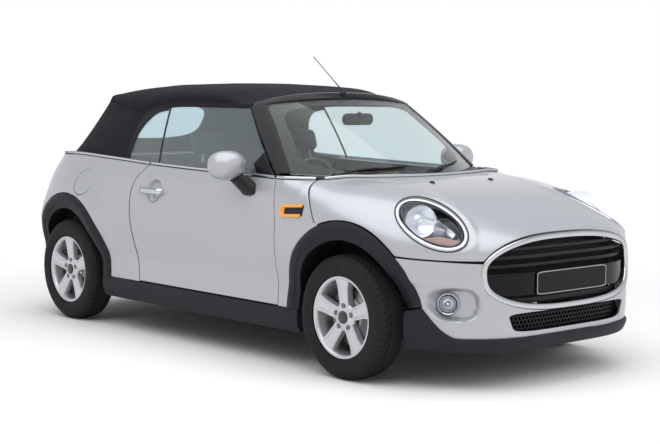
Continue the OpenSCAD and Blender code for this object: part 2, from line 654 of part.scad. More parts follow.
// Windscreen, its frame and the scuttle
foot_x = [850, 604];
foot_z = [928, 955];
head_x = [262, 204];
head_z = [1350, 1323];
pillar_foot = [548, 738, 966];
pillar_head = [140, rail_y, 1316];
function foot(s, k) = [mix(foot_x[0], foot_x[1], s * s) , s * screen_foot_y, mix(foot_z[0], foot_z[1], s * s)];
function head(s, k) = [mix(head_x[0], head_x[1], s * s), s * screen_head_y, mix(head_z[0], head_z[1], s * s)];
screen_bow = 22;
function screen_point(s, v) =
    mix(foot(s), head(s), v) + [0.72, 0, 0.69] * screen_bow * (4 * v * (1 - v)) * (1 - 0.5 * s * s);
screen_low = 0.03;
screen_top = 0.985;
function screen_net() = 
    [for (i = [-6 : 6]) [for (j = [0 : 4]) screen_point(i / 6, mix(screen_low, screen_top - 0.0008, j / 4))]];
module windscreen() {
    color(clear) slab(screen_net(), glass_t);
}
// Frame path: right pillar, header, left pillar; s runs 0 to 1
frame_n = 30;
frame_s = 1.0008;
function frame_in(k) =
    k <= 10 ? screen_point(-frame_s, mix(screen_low, screen_top, k / 10))
    : k >= 20 ? screen_point(frame_s, mix(screen_top, screen_low, (k - 20) / 10))
    : screen_point(mix(-frame_s, frame_s, (k - 10) / 10), screen_top);
function pillar(side, v) = let (p = mix(pillar_foot, pillar_head, v) + [0, 10, 4] * (4 * v * (1 - v))) [p[0], side * p[1], p[2]];
function header(s) = [mix(roof_front + seam_gap, pillar_head[0], s * s), s * rail_y, mix(car_height - roof_drop(roof_front), pillar_head[2], pow(abs(s), 2.8))];
function frame_out(k) = k <= 10 ? pillar(-1, k / 10) : k >= 20 ? pillar(1, (30 - k) / 10) : header((k - 15) / 5);
function frame_net() =
    [for (k = [0 : frame_n]) [for (j = [0 : 3])
        mix(frame_in(k), frame_out(k), j / 3) + (k <= 10 || k >= 20 ? [0.5, k <= 10 ? -0.6 : 0.6, 0.3] : [0.3, 0, 0.9]) * [0, 13, 16, 0][j]]];
module windscreen_frame() {
    color(black) difference() {
        slab(frame_net(), 36);
        both() block([480, 640], [640, 800], [900, belt_z(pillar_foot[0]) + shut_gap]);
    }
}
scuttle_y = 600;
function scuttle_point(y, v) =
    let (f = screen_point(y / screen_foot_y, screen_low), x = mix(f[0] + seam_gap, bonnet_rear_x(y) - 3 * shut_gap, v)) [x, y, f[2] - mix(1, 16, v)];
module scuttle() {
    color(black) {
        slab([for (i = [0 : 16]) [for (j = [0 : 2]) scuttle_point(mix(-scuttle_y, scuttle_y, i / 16), 1 - j / 2)]], 8);
        both() block([790, 815], [380, 420], [cowl_z + seam_gap, 937]);
    }
}
// Wiper blades: columns inner end, outer end, height up the glass at each end
wiper_table = [[-430, -40, 0.07, 0.13], [110, 480, 0.07, 0.13]];
wiper_r = 7;
screen_n = [0.72, 0, 0.69];
module wipers() {
    color(black) for (w = wiper_table) {
        rings = [for (i = [8 : -1 : 0])
            let (p = screen_point(mix(w[0], w[1], i / 8) / screen_foot_y, mix(w[2], w[3], i / 8)) + screen_n * (wiper_r - 0.3))
            [for (k = [0 : 5]) p + [wiper_r * cos(k * 60), 0, wiper_r * sin(k * 60)]]];
        tube(rings, false);
    }
}
antenna_tilt = 38;
antenna_lean = 52;
module antenna() {
    color(black) translate(mix(frame_in(15), frame_out(15), 0.5) + [0.3, 0, 0.9] * 14.5) {
        rotate([0, antenna_tilt, 0]) translate([0, 0, 0.5]) cylinder(h = 16, r1 = 22, r2 = 12);
        translate([5, 0, 10]) rotate([0, -antenna_lean, 0]) cylinder(h = 330, r = 2.5);
    }
}

// Cabin
driver_y = -360;
column_pin = [360, driver_y, 845];
column_tilt = 25;
dash_front = firewall_x;
module dashboard() {
    color([0.12, 0.12, 0.13]) {
        union() {
            along_y(-640, 640) polygon([[dash_front, 560], [380, 560], [340, 700], [360, 800], [430, 890], [560, 915], [dash_front, 905]]);
            translate([430, driver_y, 880]) rotate([0, 65, 0]) cylinder(h = 60, r = 85);
            translate(column_pin) rotate([0, 90 + column_tilt, 0]) {
                translate([0, 0, 0]) cylinder(h = 130, r = 38);
                translate([0, 0, -40]) cylinder(h = 60, r = 14);
            }
        }
    }
}
wheel_rim_r = 178;
module steering_wheel() {
    color(black) translate(column_pin) rotate([0, 90 + column_tilt, 0]) translate([0, 0, -40]) {
        difference() {
            union() {
                translate([0, 0, 0]) rotate_extrude() translate([wheel_rim_r, 0]) circle(r = 15);
                translate([0, 0, -14]) cylinder(h = 44, r = 52);
                for (a = [0, 90, 180]) rotate([0, 0, a + 90]) translate([40, -18, -7]) cube([wheel_rim_r - 45, 36, 14]);
            }
            translate([0, 0, -1]) cylinder(h = 60, r = 14 + pin_play);
        }
    }
}
mirror_v = 0.8;
module interior_mirror() {
    color(black) {
        hull() for (y = [-75, 75]) translate([352, y, 1236]) rotate([0, 90, 0]) cylinder(h = 22, r = 32, $fn = 32);
        translate(screen_point(0, mirror_v) - screen_n * (glass_t + 4.8)) rotate([0, 226, 0]) cylinder(h = 46, r = 14);
    }
}
seat_z = 480;
module soft_box(x, y, z, r) {
    hull() {
        block(x, y + [r, -r], z + [r, -r]);
        block(x + [r, -r], y, z + [r, -r]);
        block(x + [r, -r], y + [r, -r], z);
    }
}
module front_seats() {
    color([0.14, 0.14, 0.15]) both() {
        soft_box([-330, 190], [120, 600], [floor_z + floor_t + 90, seat_z], 50);
        translate([-300, 0, seat_z - 90]) rotate([0, -18, 0]) {
            soft_box([-80, 40], [125, 595], [0, 640], 45);
            soft_box([-62, 28], [245, 475], [665, 820], 38);
            for (y = [310, 410]) translate([-20, y, 600]) cylinder(h = 90, r = 7);
        }
        block([-300, 150], [170, 200], [floor_z + floor_t, floor_z + floor_t + 92]);
        block([-300, 150], [520, 550], [floor_z + floor_t, floor_z + floor_t + 92]);
    }
}
module rear_seat() {
    color([0.14, 0.14, 0.15]) {
        soft_box([seat_wall_x + 4, -640], [-570, 570], [floor_z + floor_t + 0.3, 500], 50);
        soft_box([seat_wall_x + seam_gap, seat_wall_x + 130], [-570, 570], [460, 930], 45);
    }
}

// Body side behind the door
function arch_point(a, rx) = [rear_axle_x + rx * cos(a), axle_z + (arch_rz + quarter_seam) * sin(a)];
bumper_top = 615;
lid_half = 505;
quarter_seam = 6;
q_rx = arch_rear_rx + quarter_seam;
q_end = 180 - asin((bumper_top - axle_z) / arch_rz);
q_arch = arch_point(q_end, q_rx);
function quarter_low(u) =
    u < 0.125 ? let (x = mix(curve(door_rear_table, sill_top) - shut_gap, rear_axle_x + q_rx, u / 0.125)) [tail_angle(x, sill_top), sill_top]
    : u < 0.75 ? let (p = arch_point(mix(0, q_end, (u - 0.125) / 0.625), q_rx), z = max(sill_top, p[1])) [tail_angle(p[0], z), z]
    : let (b = mix(tail_angle(q_arch[0], bumper_top), tail_angle_y(lid_half, bumper_top), (u - 0.75) / 0.25)) [b, bumper_top];
quarter_gap = shut_gap + 6;
quarter_x0 = curve(door_rear_table, belt_z(-560)) - quarter_gap;
function quarter_high(u) =
    u < 0.75 ? let (x = mix(quarter_x0, -1480, u / 0.75)) [tail_angle(x, belt_z(x)), belt_z(x)]
    : let (s = (u - 0.75) / 0.25, z = belt_z(mix(-1480, -1720, s))) [mix(tail_angle(-1480, z), tail_angle_y(lid_half, z), s), z];
function quarter_net() =
    [for (i = [0 : 20]) [for (j = [0 : 8])
        let (u = i / 20, v = j / 8, lo = quarter_low(u), hi = quarter_high(u), z = mix(lo[1], hi[1], v),
             z0 = mix(quarter_low(0)[1], quarter_high(0)[1], v),
             fix = tail_angle(curve(door_rear_table, z0) - quarter_gap, z0) - mix(quarter_low(0)[0], quarter_high(0)[0], v))
        tail_point(mix(lo[0], hi[0], v) + pow(1 - u, 2) * fix, z)]];
flap_c = [-1186, 844];
flap_r = 82;
lamp_tail = [610, 770];
lamp_tail_r = [78, 112];
function tail_lamp_edge(off) =
    [for (i = [0 : 27]) let (l = lame(i * 360 / 28, 2.6)) [lamp_tail[0] + (lamp_tail_r[0] + off) * l[0], lamp_tail[1] + (lamp_tail_r[1] + off) * l[1]]];
lid_pin_r = 8;
lid_axis = [tail_point(tail_angle_y(lid_half, bumper_top + 15), bumper_top + 15)[0] + 14, bumper_top + 15];
flap_pin_r = 3;
flap_arm = 70;
flap_tongue = 44;
flap_t = 14;
flap_deep = 7;
flap_boss_r = 10;
flap_skin = side_y(flap_c[0], flap_c[1]);
flap_tilt = atan2(side_y(flap_c[0], flap_c[1] - 60) - side_y(flap_c[0], flap_c[1] + 60), 120);
flap_axis = [flap_c[0] + flap_arm, flap_skin - flap_deep * cos(flap_tilt), flap_c[1] - flap_deep * sin(flap_tilt)];
// Places its child on the body side at the fuel flap, Y out of the skin
module flap_frame() { translate([flap_c[0], flap_skin, flap_c[1]]) rotate([flap_tilt, 0, 0]) children(); }
module quarter_panel() {
    difference() {
        slab(quarter_net(), wall_t);
        along_x(-front_x - 100, -1500) polygon(tail_lamp_edge(seam_gap));
    }
    translate([lid_axis[0], lid_half - 32, lid_axis[1]]) rotate([-90, 0, 0]) cylinder(h = 50, r = lid_pin_r);
}
module quarter_panels() {
    color(silver) {
        quarter_panel();
        mirror([0, 1, 0]) {
            difference() {
                quarter_panel();
                flap_frame() translate([0, -32, 0]) rotate([-90, 0, 0]) cylinder(h = 100, r = flap_r + shut_gap);
            }
            flap_frame() for (z = [-62, 36]) translate([flap_arm, -flap_deep, z]) cylinder(h = 26, r = flap_pin_r);
            flap_frame() for (z = [-61, 53]) translate([flap_arm, -flap_deep - 8, z]) cylinder(h = 8, r = flap_boss_r);
        }
    }
}
function tail_patch(y0, y1, z0, z1, off) =
    [for (i = [0 : 6]) [for (j = [0 : 6]) let (z = mix(z0, z1, j / 6)) tail_point(tail_angle_y(mix(y1, y0, i / 6), z), z)]];
module tail_lamps() {
    color([0.6, 0.05, 0.05]) both() intersection() {
        slab(offset_net(tail_patch(500, 715, 640, 900, 0), 6), 50);
        along_x(-front_x - 100, -1500) polygon(tail_lamp_edge(0));
    }
}
module fuel_flap() {
    color(silver) mirror([0, 1, 0]) flap_frame() difference() {
        translate([0, -flap_t, 0]) rotate([-90, 0, 0]) cylinder(h = flap_t, r = flap_r);
        translate([flap_arm, -flap_deep, -100]) cylinder(h = 200, r = flap_pin_r + pin_play);
        for (z = [flap_tongue, -flap_tongue - 60]) block([46, 100], [-100, 100], [z, z + 60]);
    }
}
rear_low = 240;
module rear_bumper() {
    color(silver) {
        g = [for (i = [-12 : 12]) [for (j = [0 : 6])
            let (u = i / 12, z = mix(rear_low, bumper_top - shut_gap, sin(15 * j)),
                 b = tail_angle(rear_axle_x - arch_dx(z, q_rx, arch_rz + quarter_seam), z)) tail_point(-u * b, z)]];
        slab(g, skin_t);
    }
}
lid_low = bumper_top + shut_gap;
lid_t = 42;
module boot_lid() {
    color(silver) {
        g = [for (i = [-7 : 7]) [for (j = [0 : 6])
            let (z = mix(lid_low, belt_z(-1720) - shut_gap, j / 6), b = tail_angle_y(lid_half - shut_gap, z))
            tail_point(-i / 7 * b, z)]];
        difference() {
            slab(g, lid_t);
            both() translate([lid_axis[0], lid_half - 36, lid_axis[1]]) rotate([-90, 0, 0]) cylinder(h = 60, r = lid_pin_r + pin_play);
        }
    }
}

// Plastic trims
trim_t = 30;
function trim_net(x0, rx, a0, a1) =
    [for (i = [0 : 20]) [for (j = [0 : 3])
        let (a = mix(a0, a1, i / 20), s = j / 3, x = x0 + (rx - arch_band * s) * cos(a), z = axle_z + (arch_rz - arch_band * s) * sin(a),
             r = side_y(x0 + rx * cos(a), axle_z + arch_rz * sin(a)))
        [x, r + arch_proud * min(1, 3 * s + 0.1) - 12 * s * s, z]]];
module arch_trims() {
    color(charcoal) both() {
        slab(trim_net(front_axle_x, arch_front_rx, 180.35, 11), trim_t);
        slab(trim_net(rear_axle_x, arch_rear_rx, 175, -0.35), trim_t);
    }
}
module sill_trims() {
    color(charcoal) both() {
        g = [for (i = [0 : 10]) [for (j = [0 : 4])
            let (x = mix(front_axle_x - arch_front_rx + 84, rear_axle_x + arch_rear_rx - 84, i / 10), z = mix(180, sill_top - 2.5, j / 4))
            [x, side_y(x, z) + [-6, 8, 12, 10, 4][j], z]]];
        slab(g, 40);
    }
}

// Hood
function roof_drop(x) = curve(roof_table, x);
function edge_z(x) = curve(roof_edge_table, x);
function edge_y(x) = curve([for (r = roof_edge_table) [r[0], r[2]]], x);
roof_front = 205;
roof_corner = pillar_head[0] - 8;
roof_rear = -1330;
seam_side = -850;
roof_power = 3.2;
function roof_front_x(s) = mix(roof_front, roof_corner, s * s);
function roof_z(x, s) = mix(edge_z(x), car_height - roof_drop(x), pow(max(0, 1 - pow(abs(s), roof_power)), 1 / roof_power));
function roof_s(i, n) = sin(90 * i / n);
function roof_point(x, s) = [x, edge_y(x) * s, roof_z(x, s)];
function roof_net() =
    [for (i = [0 : 12]) [for (j = [-9 : 9]) let (s = -roof_s(j, 9)) roof_point(mix(roof_front_x(s), roof_rear, i / 12), s)]];
module soft_top_roof() {
    color(cloth) slab(roof_net(), cloth_t);
}
hood_in = 22;
hood_gap = 10;
hood_corner = 0.5;
// Foot of the rear cloth along the belt; s runs from the right window round the tail to the left window
function hood_foot(s) =
    let (b = 90 * abs(s), x1 = seam_side - 4, z = belt_z(mix(-1720, x1, pow(abs(s), 4))) + seam_gap,
         l = lame(b, 5), x = mix(x1, tail_x(1000) + hood_in + 18, l[0]))
    [x, sign(s) * (half_w(z) - hood_in) * l[1], z];
// Seam between roof cloth and rear cloth
function hood_seam(s) =
    let (a = abs(s), x = mix(roof_rear, seam_side, max(0, a - hood_corner) / (1 - hood_corner)))
    a < hood_corner ? roof_point(roof_rear, s / hood_corner) - [hood_gap, 0, 0]
    : [x - hood_gap * (1 - a) / (1 - hood_corner), sign(s) * edge_y(x), edge_z(x) - hood_gap];
function hood_point(s, v) =
    mix(hood_seam(s), hood_foot(s), v) - [-0.4, 0, 1] * 22 * (4 * v * (1 - v)) * max(0, 1 - abs(s) * 1.2);
function hood_net() = [for (i = [0 : 5]) [for (j = [-14 : 14]) hood_point(-j / 14, i / 5)]];
module soft_top_rear() {
    color(cloth) slab(hood_net(), cloth_t);
}

// Side glass: ruled between the belt and the rail
bar_low = -511;
bar_high = -590;
function glass_low(x, lift) = [x, half_w(belt_z(x)) - 24, belt_z(x) + lift];
function glass_high(x) = [x, edge_y(x) - 10, edge_z(x) - shut_gap - 3];
glass_bow = 9;
glass_lift = 2.5;
quarter_lift = -1.1;
function pane(f0, r0, f1, r1, n, front_lift, lift) =
    [for (i = [0 : n]) [for (j = [0 : 4]) let (v = j / 4)
        mix(glass_low(mix(f0, r0, i / n), i == 0 ? front_lift : lift), glass_high(mix(f1, r1, i / n)), v) + [0, glass_bow, 0] * (4 * v * (1 - v))]];
function door_pane() = pane(pillar_foot[0] - 20, bar_low + 4, pillar_head[0] - 14, bar_high + 4, 10, glass_lift, glass_lift);
function quarter_pane() = pane(bar_low - 8, -845, bar_high - 8, -800, 5, quarter_lift + 1.8 * shut_gap, quarter_lift);
module quarter_glass() { color(clear) both() slab(quarter_pane(), glass_t); }
module door_glass() { color(clear) slab(door_pane(), glass_t); }
module door_glass_left() { door_glass(); }
module door_glass_right() { mirror([0, 1, 0]) door_glass(); }

// Doors
door_low = sill_top + shut_gap;
door_tuck_front = 42;
door_tuck_rear = 34;
function door_net(inset) =
    let (k = inset / door_t)
    [for (i = [0 : 10]) [for (j = [0 : 10])
        let (xf = curve(door_front_table, mix(door_low, belt_z(572), j / 10)) - k * door_tuck_front,
             xr = curve(door_rear_table, mix(door_low, belt_z(-560), j / 10)) + k * door_tuck_rear,
             x = mix(xf, xr, i / 10), z = mix(door_low, belt_z(x), j / 10)) [x, side_y(x, z) - inset, z]]];
handle_c = [-500, 829];
arm_knee = [672, 752];
arm_end = [572, 735];
arm_w = 11;
module hinge_bar(a, b, z, h) {
    d = b - a;
    translate([a[0], a[1], z - h / 2]) rotate([0, 0, atan2(d[1], d[0])])
        translate([-arm_w / 2, -arm_w / 2, 0]) cube([norm(d) + arm_w, arm_w, h]);
}
module hinge_arm(z) {
    translate([hinge_c[0], hinge_c[1], z - hinge_h / 2]) cylinder(h = hinge_h, r = hinge_eye_r);
    hinge_bar(hinge_c - [0, hinge_eye_r], arm_knee, z, hinge_h - 6);
    hinge_bar(arm_knee, arm_end, z, hinge_h - 10);
}
module door() {
    color(silver) difference() {
        union() {
            shell(door_net(0), door_net(door_t));
            for (z = hinge_heights) hinge_arm(z);
            translate([handle_c[0], side_y(handle_c[0], handle_c[1]), handle_c[1]]) {
                translate([-95, 30, 0]) rotate([0, 90, 0]) cylinder(h = 190, r = 11);
                for (x = [-85, 85]) translate([x, -12, 0]) rotate([-90, 0, 0]) cylinder(h = 42, r = 9);
            }
        }
        translate([hinge_c[0], hinge_c[1], 0]) cylinder(h = 1000, r = hinge_pin_r + pin_play);
    }
}
module door_left() { door(); }
module door_right() { mirror([0, 1, 0]) door(); }
mirror_c = [300, 865, 1004];
mirror_r = [92, 104, 79];
module door_mirror() {
    g = [for (i = [0 : 4]) [for (j = [0 : 3]) let (x = mix(445, 290, i / 4), z = mix(862, 904, j / 3)) [x, side_y(x, z), z]]];
    color(silver) union() {
        translate(mirror_c)
            tube([for (i = [1 : 8]) let (a = -90 + i * 20)
                [for (k = [0 : 15]) let (q = k * 22.5)
                    [mirror_r[0] * cos(a) * sin(q), mirror_r[1] * sin(a), mirror_r[2] * cos(a) * cos(q)]]], false);
        shell(offset_net(g, 30), offset_net(g, seam_gap));
        hull() {
            translate([320, 830, 940]) cube([70, 40, 24]);
            translate([300, 802, 872]) cube([135, 10, 26]);
        }
    }
}
module mirror_left() { door_mirror(); }
module mirror_right() { mirror([0, 1, 0]) door_mirror(); }

// Bonnet
ring_clear = ring_hw + ring_r + shut_gap;
function skin_polar(y, z) =
    let (x = skin_x(y, z)) plan_polar(x, max(0, y - flare(x, z) * pow(y / bonnet_w, 2)));
function bonnet_low(u) =
    let (a = abs(u))
    a < 0.3 ? let (y = ring_clear * sin(90 * a / 0.3), l = pow(max(0, 1 - pow(y / ring_clear, ring_power)), 1 / ring_power),
                   z = max(waist_z + 14, ring_z + (ring_up + ring_r + shut_gap) * l)) skin_polar(y, z)
    : a < 0.6 ? let (s = (a - 0.3) / 0.3, p = skin_polar(ring_clear, waist_z + 14),
                     xa = front_axle_x + arch_dx(628, arch_front_rx + shut_gap, arch_rz + shut_gap), q = side_polar(xa, 628)) mix(p, q, s)
    : let (s = (a - 0.6) / 0.4, a0 = asin((628 - axle_z) / (arch_rz + shut_gap)), a1 = 180 - asin((seam_low[1] - axle_z) / (arch_rz + shut_gap)),
           t = mix(a0, a1, s), x = front_axle_x + (arch_front_rx + shut_gap) * cos(t), z = axle_z + (arch_rz + shut_gap) * sin(t)) side_polar(x, z);
bonnet_rear_c = 925;
bonnet_rear_y = 700;
function bonnet_rear_x(y) = mix(bonnet_rear_c, seam_high[0] + 2, pow(y / bonnet_rear_y, 2));
function bonnet_rear(u) = let (y = abs(u) * bonnet_rear_y) plan_polar(bonnet_rear_x(y), y);
function bonnet_side(v) = let (x = mix(seam_low[0], seam_high[0], v), z = mix(seam_low[1], seam_high[1] - 3, v)) side_polar(x, z);
function bonnet_cell(u, v) =
    let (a = abs(u), w = mix(bonnet_low(u), bonnet_rear(u), v),
         fix = bonnet_side(v) - mix(bonnet_low(1), bonnet_rear(1), v), q = w + fix * pow(a, 4))
    bonnet_point((u < 0 ? -1 : 1) * q[0], q[1]);
function bonnet_net() = [for (i = [-20 : 20]) [for (j = [0 : 9]) bonnet_cell(i / 20, pow(j / 9, 1.25))]];
module bonnet() {
    color(silver) difference() {
        slab(bonnet_net(), skin_t);
        both() lamp_frame() translate([0, 0, -400]) linear_extrude(700) polygon(lamp_ellipse(0));
    }
}
bonnet_arm_l = 135;
bonnet_arm_h = 18;
bonnet_arm_rise = 6;
module bonnet_hinges() {
    color(steel) both() translate([bonnet_axis[0], bonnet_hinge_y - eye_w / 2, bonnet_axis[1]]) rotate([-90, 0, 0])
        difference() {
            union() {
                cylinder(h = eye_w, r = bonnet_eye_r);
                rotate([0, 0, -bonnet_arm_rise]) translate([0, -bonnet_arm_h / 2, 2]) cube([bonnet_arm_l, bonnet_arm_h, eye_w - 4]);
            }
            translate([0, 0, -1]) cylinder(h = eye_w + 2, r = hinge_pin_r + pin_play);
        }
}

// Steered knuckles
module knuckle() {
    color(steel) union() {
        translate([front_axle_x, kingpin_y, ball_low - arm_t / 2 - 4]) cylinder(h = arm_t + 12, r = ball_r);
        translate([front_axle_x, kingpin_y, ball_high - arm_t / 2 - 8]) cylinder(h = arm_t + 12, r = ball_r);
        block([front_axle_x - 32, front_axle_x + 32], [kingpin_y - 24, kingpin_y + 34], [ball_low + arm_t / 2 + 5, ball_high - arm_t / 2 - 5]);
        translate([front_axle_x, kingpin_y + 33, axle_z]) rotate([-90, 0, 0]) cylinder(h = wheel_y + 18 - kingpin_y - 33, r = spindle_r);
        caliper();
    }
}
caliper_a = -20;
module caliper() {
    translate([front_axle_x, wheel_y, axle_z]) rotate([0, caliper_a + 40, 0]) {
        translate([148, -36, -46]) cube([14, 64, 92]);
        translate([95, 17, -46]) cube([60, 11, 92]);
        translate([25, -46, -30]) cube([137, 22, 60]);
    }
}
module knuckle_left() { knuckle(); }
module knuckle_right() { mirror([0, 1, 0]) knuckle(); }

// Wheels: columns of the rim profile radius, distance outboard of the wheel plane
rim_profile = [[rim_r - 10, -74], [rim_r + 12, -74], [rim_r + 12, -66], [rim_r, -62], [rim_r, -34], [rim_r - 8, -22],
    [rim_r - 8, 20], [rim_r, 34], [rim_r, 64], [rim_r + 12, 68], [rim_r + 12, 76], [rim_r + 2, 78], [rim_r - 8, 70],
    [rim_r - 14, 30], [rim_r - 16, 0], [rim_r - 10, -40]];
dish_profile = [[0, 30], [0, 58], [40, 62], [75, 64], [150, 72], [rim_r - 6, 72], [rim_r - 6, 42], [120, 38], [70, 30]];
hub_r = 72;
module road_wheel() {
    color([0.72, 0.73, 0.75]) difference() {
        union() {
            rotate_extrude() polygon(rim_profile);
            intersection() {
                rotate_extrude() polygon(dish_profile);
                union() {
                    translate([0, 0, 20]) cylinder(h = 60, r = hub_r);
                    for (i = [0 : spokes - 1]) rotate([0, 0, i * 360 / spokes])
                        translate([0, 0, 20]) linear_extrude(60) polygon([[40, -34], [120, -37], [rim_r, -50], [rim_r, 50], [120, 37], [40, 34]]);
                }
            }
            translate([0, 0, -10]) cylinder(h = 42, r = hub_r);
            translate([0, 0, -10]) cylinder(h = 22, r = disc_r);
        }
        translate([0, 0, -20]) cylinder(h = 40, r = spindle_r + pin_play);
        for (i = [0 : spokes - 1]) rotate([0, 0, i * 360 / spokes]) translate([bolt_pcd / 2, 0, 45]) cylinder(h = 40, r = 13);
    }
}
tyre_profile = [[rim_r + 0.2, -60], [rim_r + 12.4, -65], [rim_r + 13, -79], [250, -tyre_w / 2], [tyre_r - 24, -tyre_w / 2 + 4], [tyre_r - 4, -62], [tyre_r, -30],
    [tyre_r, 30], [tyre_r - 4, 62], [tyre_r - 24, tyre_w / 2 - 4], [250, tyre_w / 2], [rim_r + 13, 80], [rim_r + 12.4, 67], [rim_r + 0.2, 62]];
module tyre() {
    color(black) rotate_extrude() polygon(tyre_profile);
}
module at_wheel(x, side) { translate([x, side * wheel_y, axle_z]) rotate([side * -90, 0, 0]) children(); }
module wheel_fr() { at_wheel(front_axle_x, -1) road_wheel(); }
module wheel_fl() { at_wheel(front_axle_x, 1) road_wheel(); }
module wheel_rr() { at_wheel(rear_axle_x, -1) road_wheel(); }
module wheel_rl() { at_wheel(rear_axle_x, 1) road_wheel(); }
module tyre_fr() { at_wheel(front_axle_x, -1) tyre(); }
module tyre_fl() { at_wheel(front_axle_x, 1) tyre(); }
module tyre_rr() { at_wheel(rear_axle_x, -1) tyre(); }
module tyre_rl() { at_wheel(rear_axle_x, 1) tyre(); }

floor_pan();
floor_tunnel();
floor_sills();
front_rails();
rear_floor();
bulkheads();
wheel_houses();
engine();
front_suspension();
rear_suspension();
exhaust();
front_bumper();
front_skirt();
grille_ring();
grilles();
headlamps();
fog_lamps();
front_wings();
side_indicators();
windscreen_frame();
windscreen();
scuttle();
wipers();
antenna();
dashboard();
interior_mirror();
front_seats();
rear_seat();
quarter_panels();
arch_trims();
sill_trims();
soft_top_roof();
soft_top_rear();
quarter_glass();
rear_bumper();
tail_lamps();
steering_wheel();
fuel_flap();
boot_lid();
bonnet();
bonnet_hinges();
headlamp_rings();
door_right();
door_left();
door_glass_right();
door_glass_left();
mirror_right();
mirror_left();
knuckle_right();
knuckle_left();
wheel_fr();
wheel_fl();
wheel_rr();
wheel_rl();
tyre_fr();
tyre_fl();
tyre_rr();
tyre_rl();
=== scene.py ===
import bmesh
import bpy
import numpy as np
from mathutils import Matrix, Vector


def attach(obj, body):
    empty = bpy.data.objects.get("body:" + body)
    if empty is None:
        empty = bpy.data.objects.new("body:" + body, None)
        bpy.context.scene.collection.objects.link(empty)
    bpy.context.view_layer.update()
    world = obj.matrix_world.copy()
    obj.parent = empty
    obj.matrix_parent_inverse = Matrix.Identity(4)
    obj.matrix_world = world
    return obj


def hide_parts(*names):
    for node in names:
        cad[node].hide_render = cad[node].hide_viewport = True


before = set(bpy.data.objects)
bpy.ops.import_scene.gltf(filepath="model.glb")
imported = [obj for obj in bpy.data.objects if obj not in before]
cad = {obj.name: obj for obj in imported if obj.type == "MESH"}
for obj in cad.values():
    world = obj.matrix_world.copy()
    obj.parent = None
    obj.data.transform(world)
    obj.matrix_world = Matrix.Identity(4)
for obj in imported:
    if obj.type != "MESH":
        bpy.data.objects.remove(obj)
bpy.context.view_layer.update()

# Studio: a pale level floor under a soft overcast dome, lit by a broad lamp overhead and a weaker one in front
# that no reflection shows. The camera stands at the photograph's viewing angle, found from wheels and plate.
scene = bpy.context.scene
scene.view_settings.view_transform = "Standard"
MM = 0.001
SENSOR, FOCAL_PIXELS, PHOTO_PIXELS = 36, 1427.43, 660
CAMERA_AT = (6.2100, -5.3722, 1.3750)
AZIMUTH, FALL, ROLL = np.radians((48.513, 5.113, 0.231))
camera = bpy.data.objects.new("camera", bpy.data.cameras.new("camera"))
camera.data.sensor_width = SENSOR
camera.data.lens = FOCAL_PIXELS / PHOTO_PIXELS * SENSOR
camera.data.clip_end = 200
back = np.array([np.sin(AZIMUTH) * np.cos(FALL), -np.cos(AZIMUTH) * np.cos(FALL), np.sin(FALL)])
right = np.array([np.cos(AZIMUTH), np.sin(AZIMUTH), 0])
up = np.cross(back, right)
axes = np.column_stack([right * np.cos(ROLL) + up * np.sin(ROLL), up * np.cos(ROLL) - right * np.sin(ROLL),
                        back])
camera.matrix_world = Matrix.Translation(CAMERA_AT) @ Matrix(axes.tolist()).to_4x4()
scene.collection.objects.link(camera)
scene.camera = camera


def node(tree, kind, group=None, operation=None, **values):
    """New shader node, with its group or operation and socket values; underscores stand for spaces."""
    made = tree.nodes.new("ShaderNode" + kind)
    if group is not None:
        made.node_tree = group
    if operation is not None:
        made.operation = operation
    for label, value in values.items():
        made.inputs[label.replace("_", " ")].default_value = value
    return made


def wire(tree, *pairs):
    """Joins output sockets to input sockets."""
    for source, target in pairs:
        tree.links.new(source, target)


def seen_rays(tree):
    """Socket that is 1 for camera, mirror and glass rays, and 0 for the rays that carry light about."""
    path = node(tree, "LightPath")
    seen = path.outputs["Is Camera Ray"]
    for label in ("Is Glossy Ray", "Is Transmission Ray"):
        most = node(tree, "Math", operation="MAXIMUM")
        wire(tree, (seen, most.inputs[0]), (path.outputs[label], most.inputs[1]))
        seen = most.outputs[0]
    return seen


FLOOR_HALF, FADE_FROM, FADE_TO = 40.0, 1.6, 4.2
floor_mesh = bpy.data.meshes.new("floor")
floor_mesh.from_pydata([(x * FLOOR_HALF, y * FLOOR_HALF, 0) for x, y in ((-1, -1), (1, -1), (1, 1), (-1, 1))],
                       [], [(0, 1, 2, 3)])
floor = bpy.data.objects.new("floor", floor_mesh)
scene.collection.objects.link(floor)
floor_look = bpy.data.materials.new("floor_paper")
floor_look.use_nodes = True
paper = floor_look.node_tree
paper_skin = paper.nodes["Principled BSDF"]
for label, value in (("Base Color", (0.9, 0.9, 0.9, 1)), ("Roughness", 0.9), ("Specular IOR Level", 0.1)):
    paper_skin.inputs[label].default_value = value
paper_place = node(paper, "TexCoord")
paper_reach = node(paper, "VectorMath", operation="LENGTH")
paper_fade = node(paper, "MapRange", From_Min=FADE_FROM, From_Max=FADE_TO)
paper_fade.interpolation_type = "SMOOTHSTEP"
paper_seen = node(paper, "Math", operation="MULTIPLY")
paper_white = node(paper, "Emission")
paper_mix = node(paper, "MixShader")
wire(paper, (paper_place.outputs["Object"], paper_reach.inputs[0]),
     (paper_reach.outputs["Value"], paper_fade.inputs["Value"]),
     (paper_fade.outputs["Result"], paper_seen.inputs[0]), (seen_rays(paper), paper_seen.inputs[1]),
     (paper_seen.outputs[0], paper_mix.inputs[0]),
     (paper_skin.outputs[0], paper_mix.inputs[1]), (paper_white.outputs[0], paper_mix.inputs[2]),
     (paper_mix.outputs[0], paper.nodes["Material Output"].inputs[0]))
floor_mesh.materials.append(floor_look)

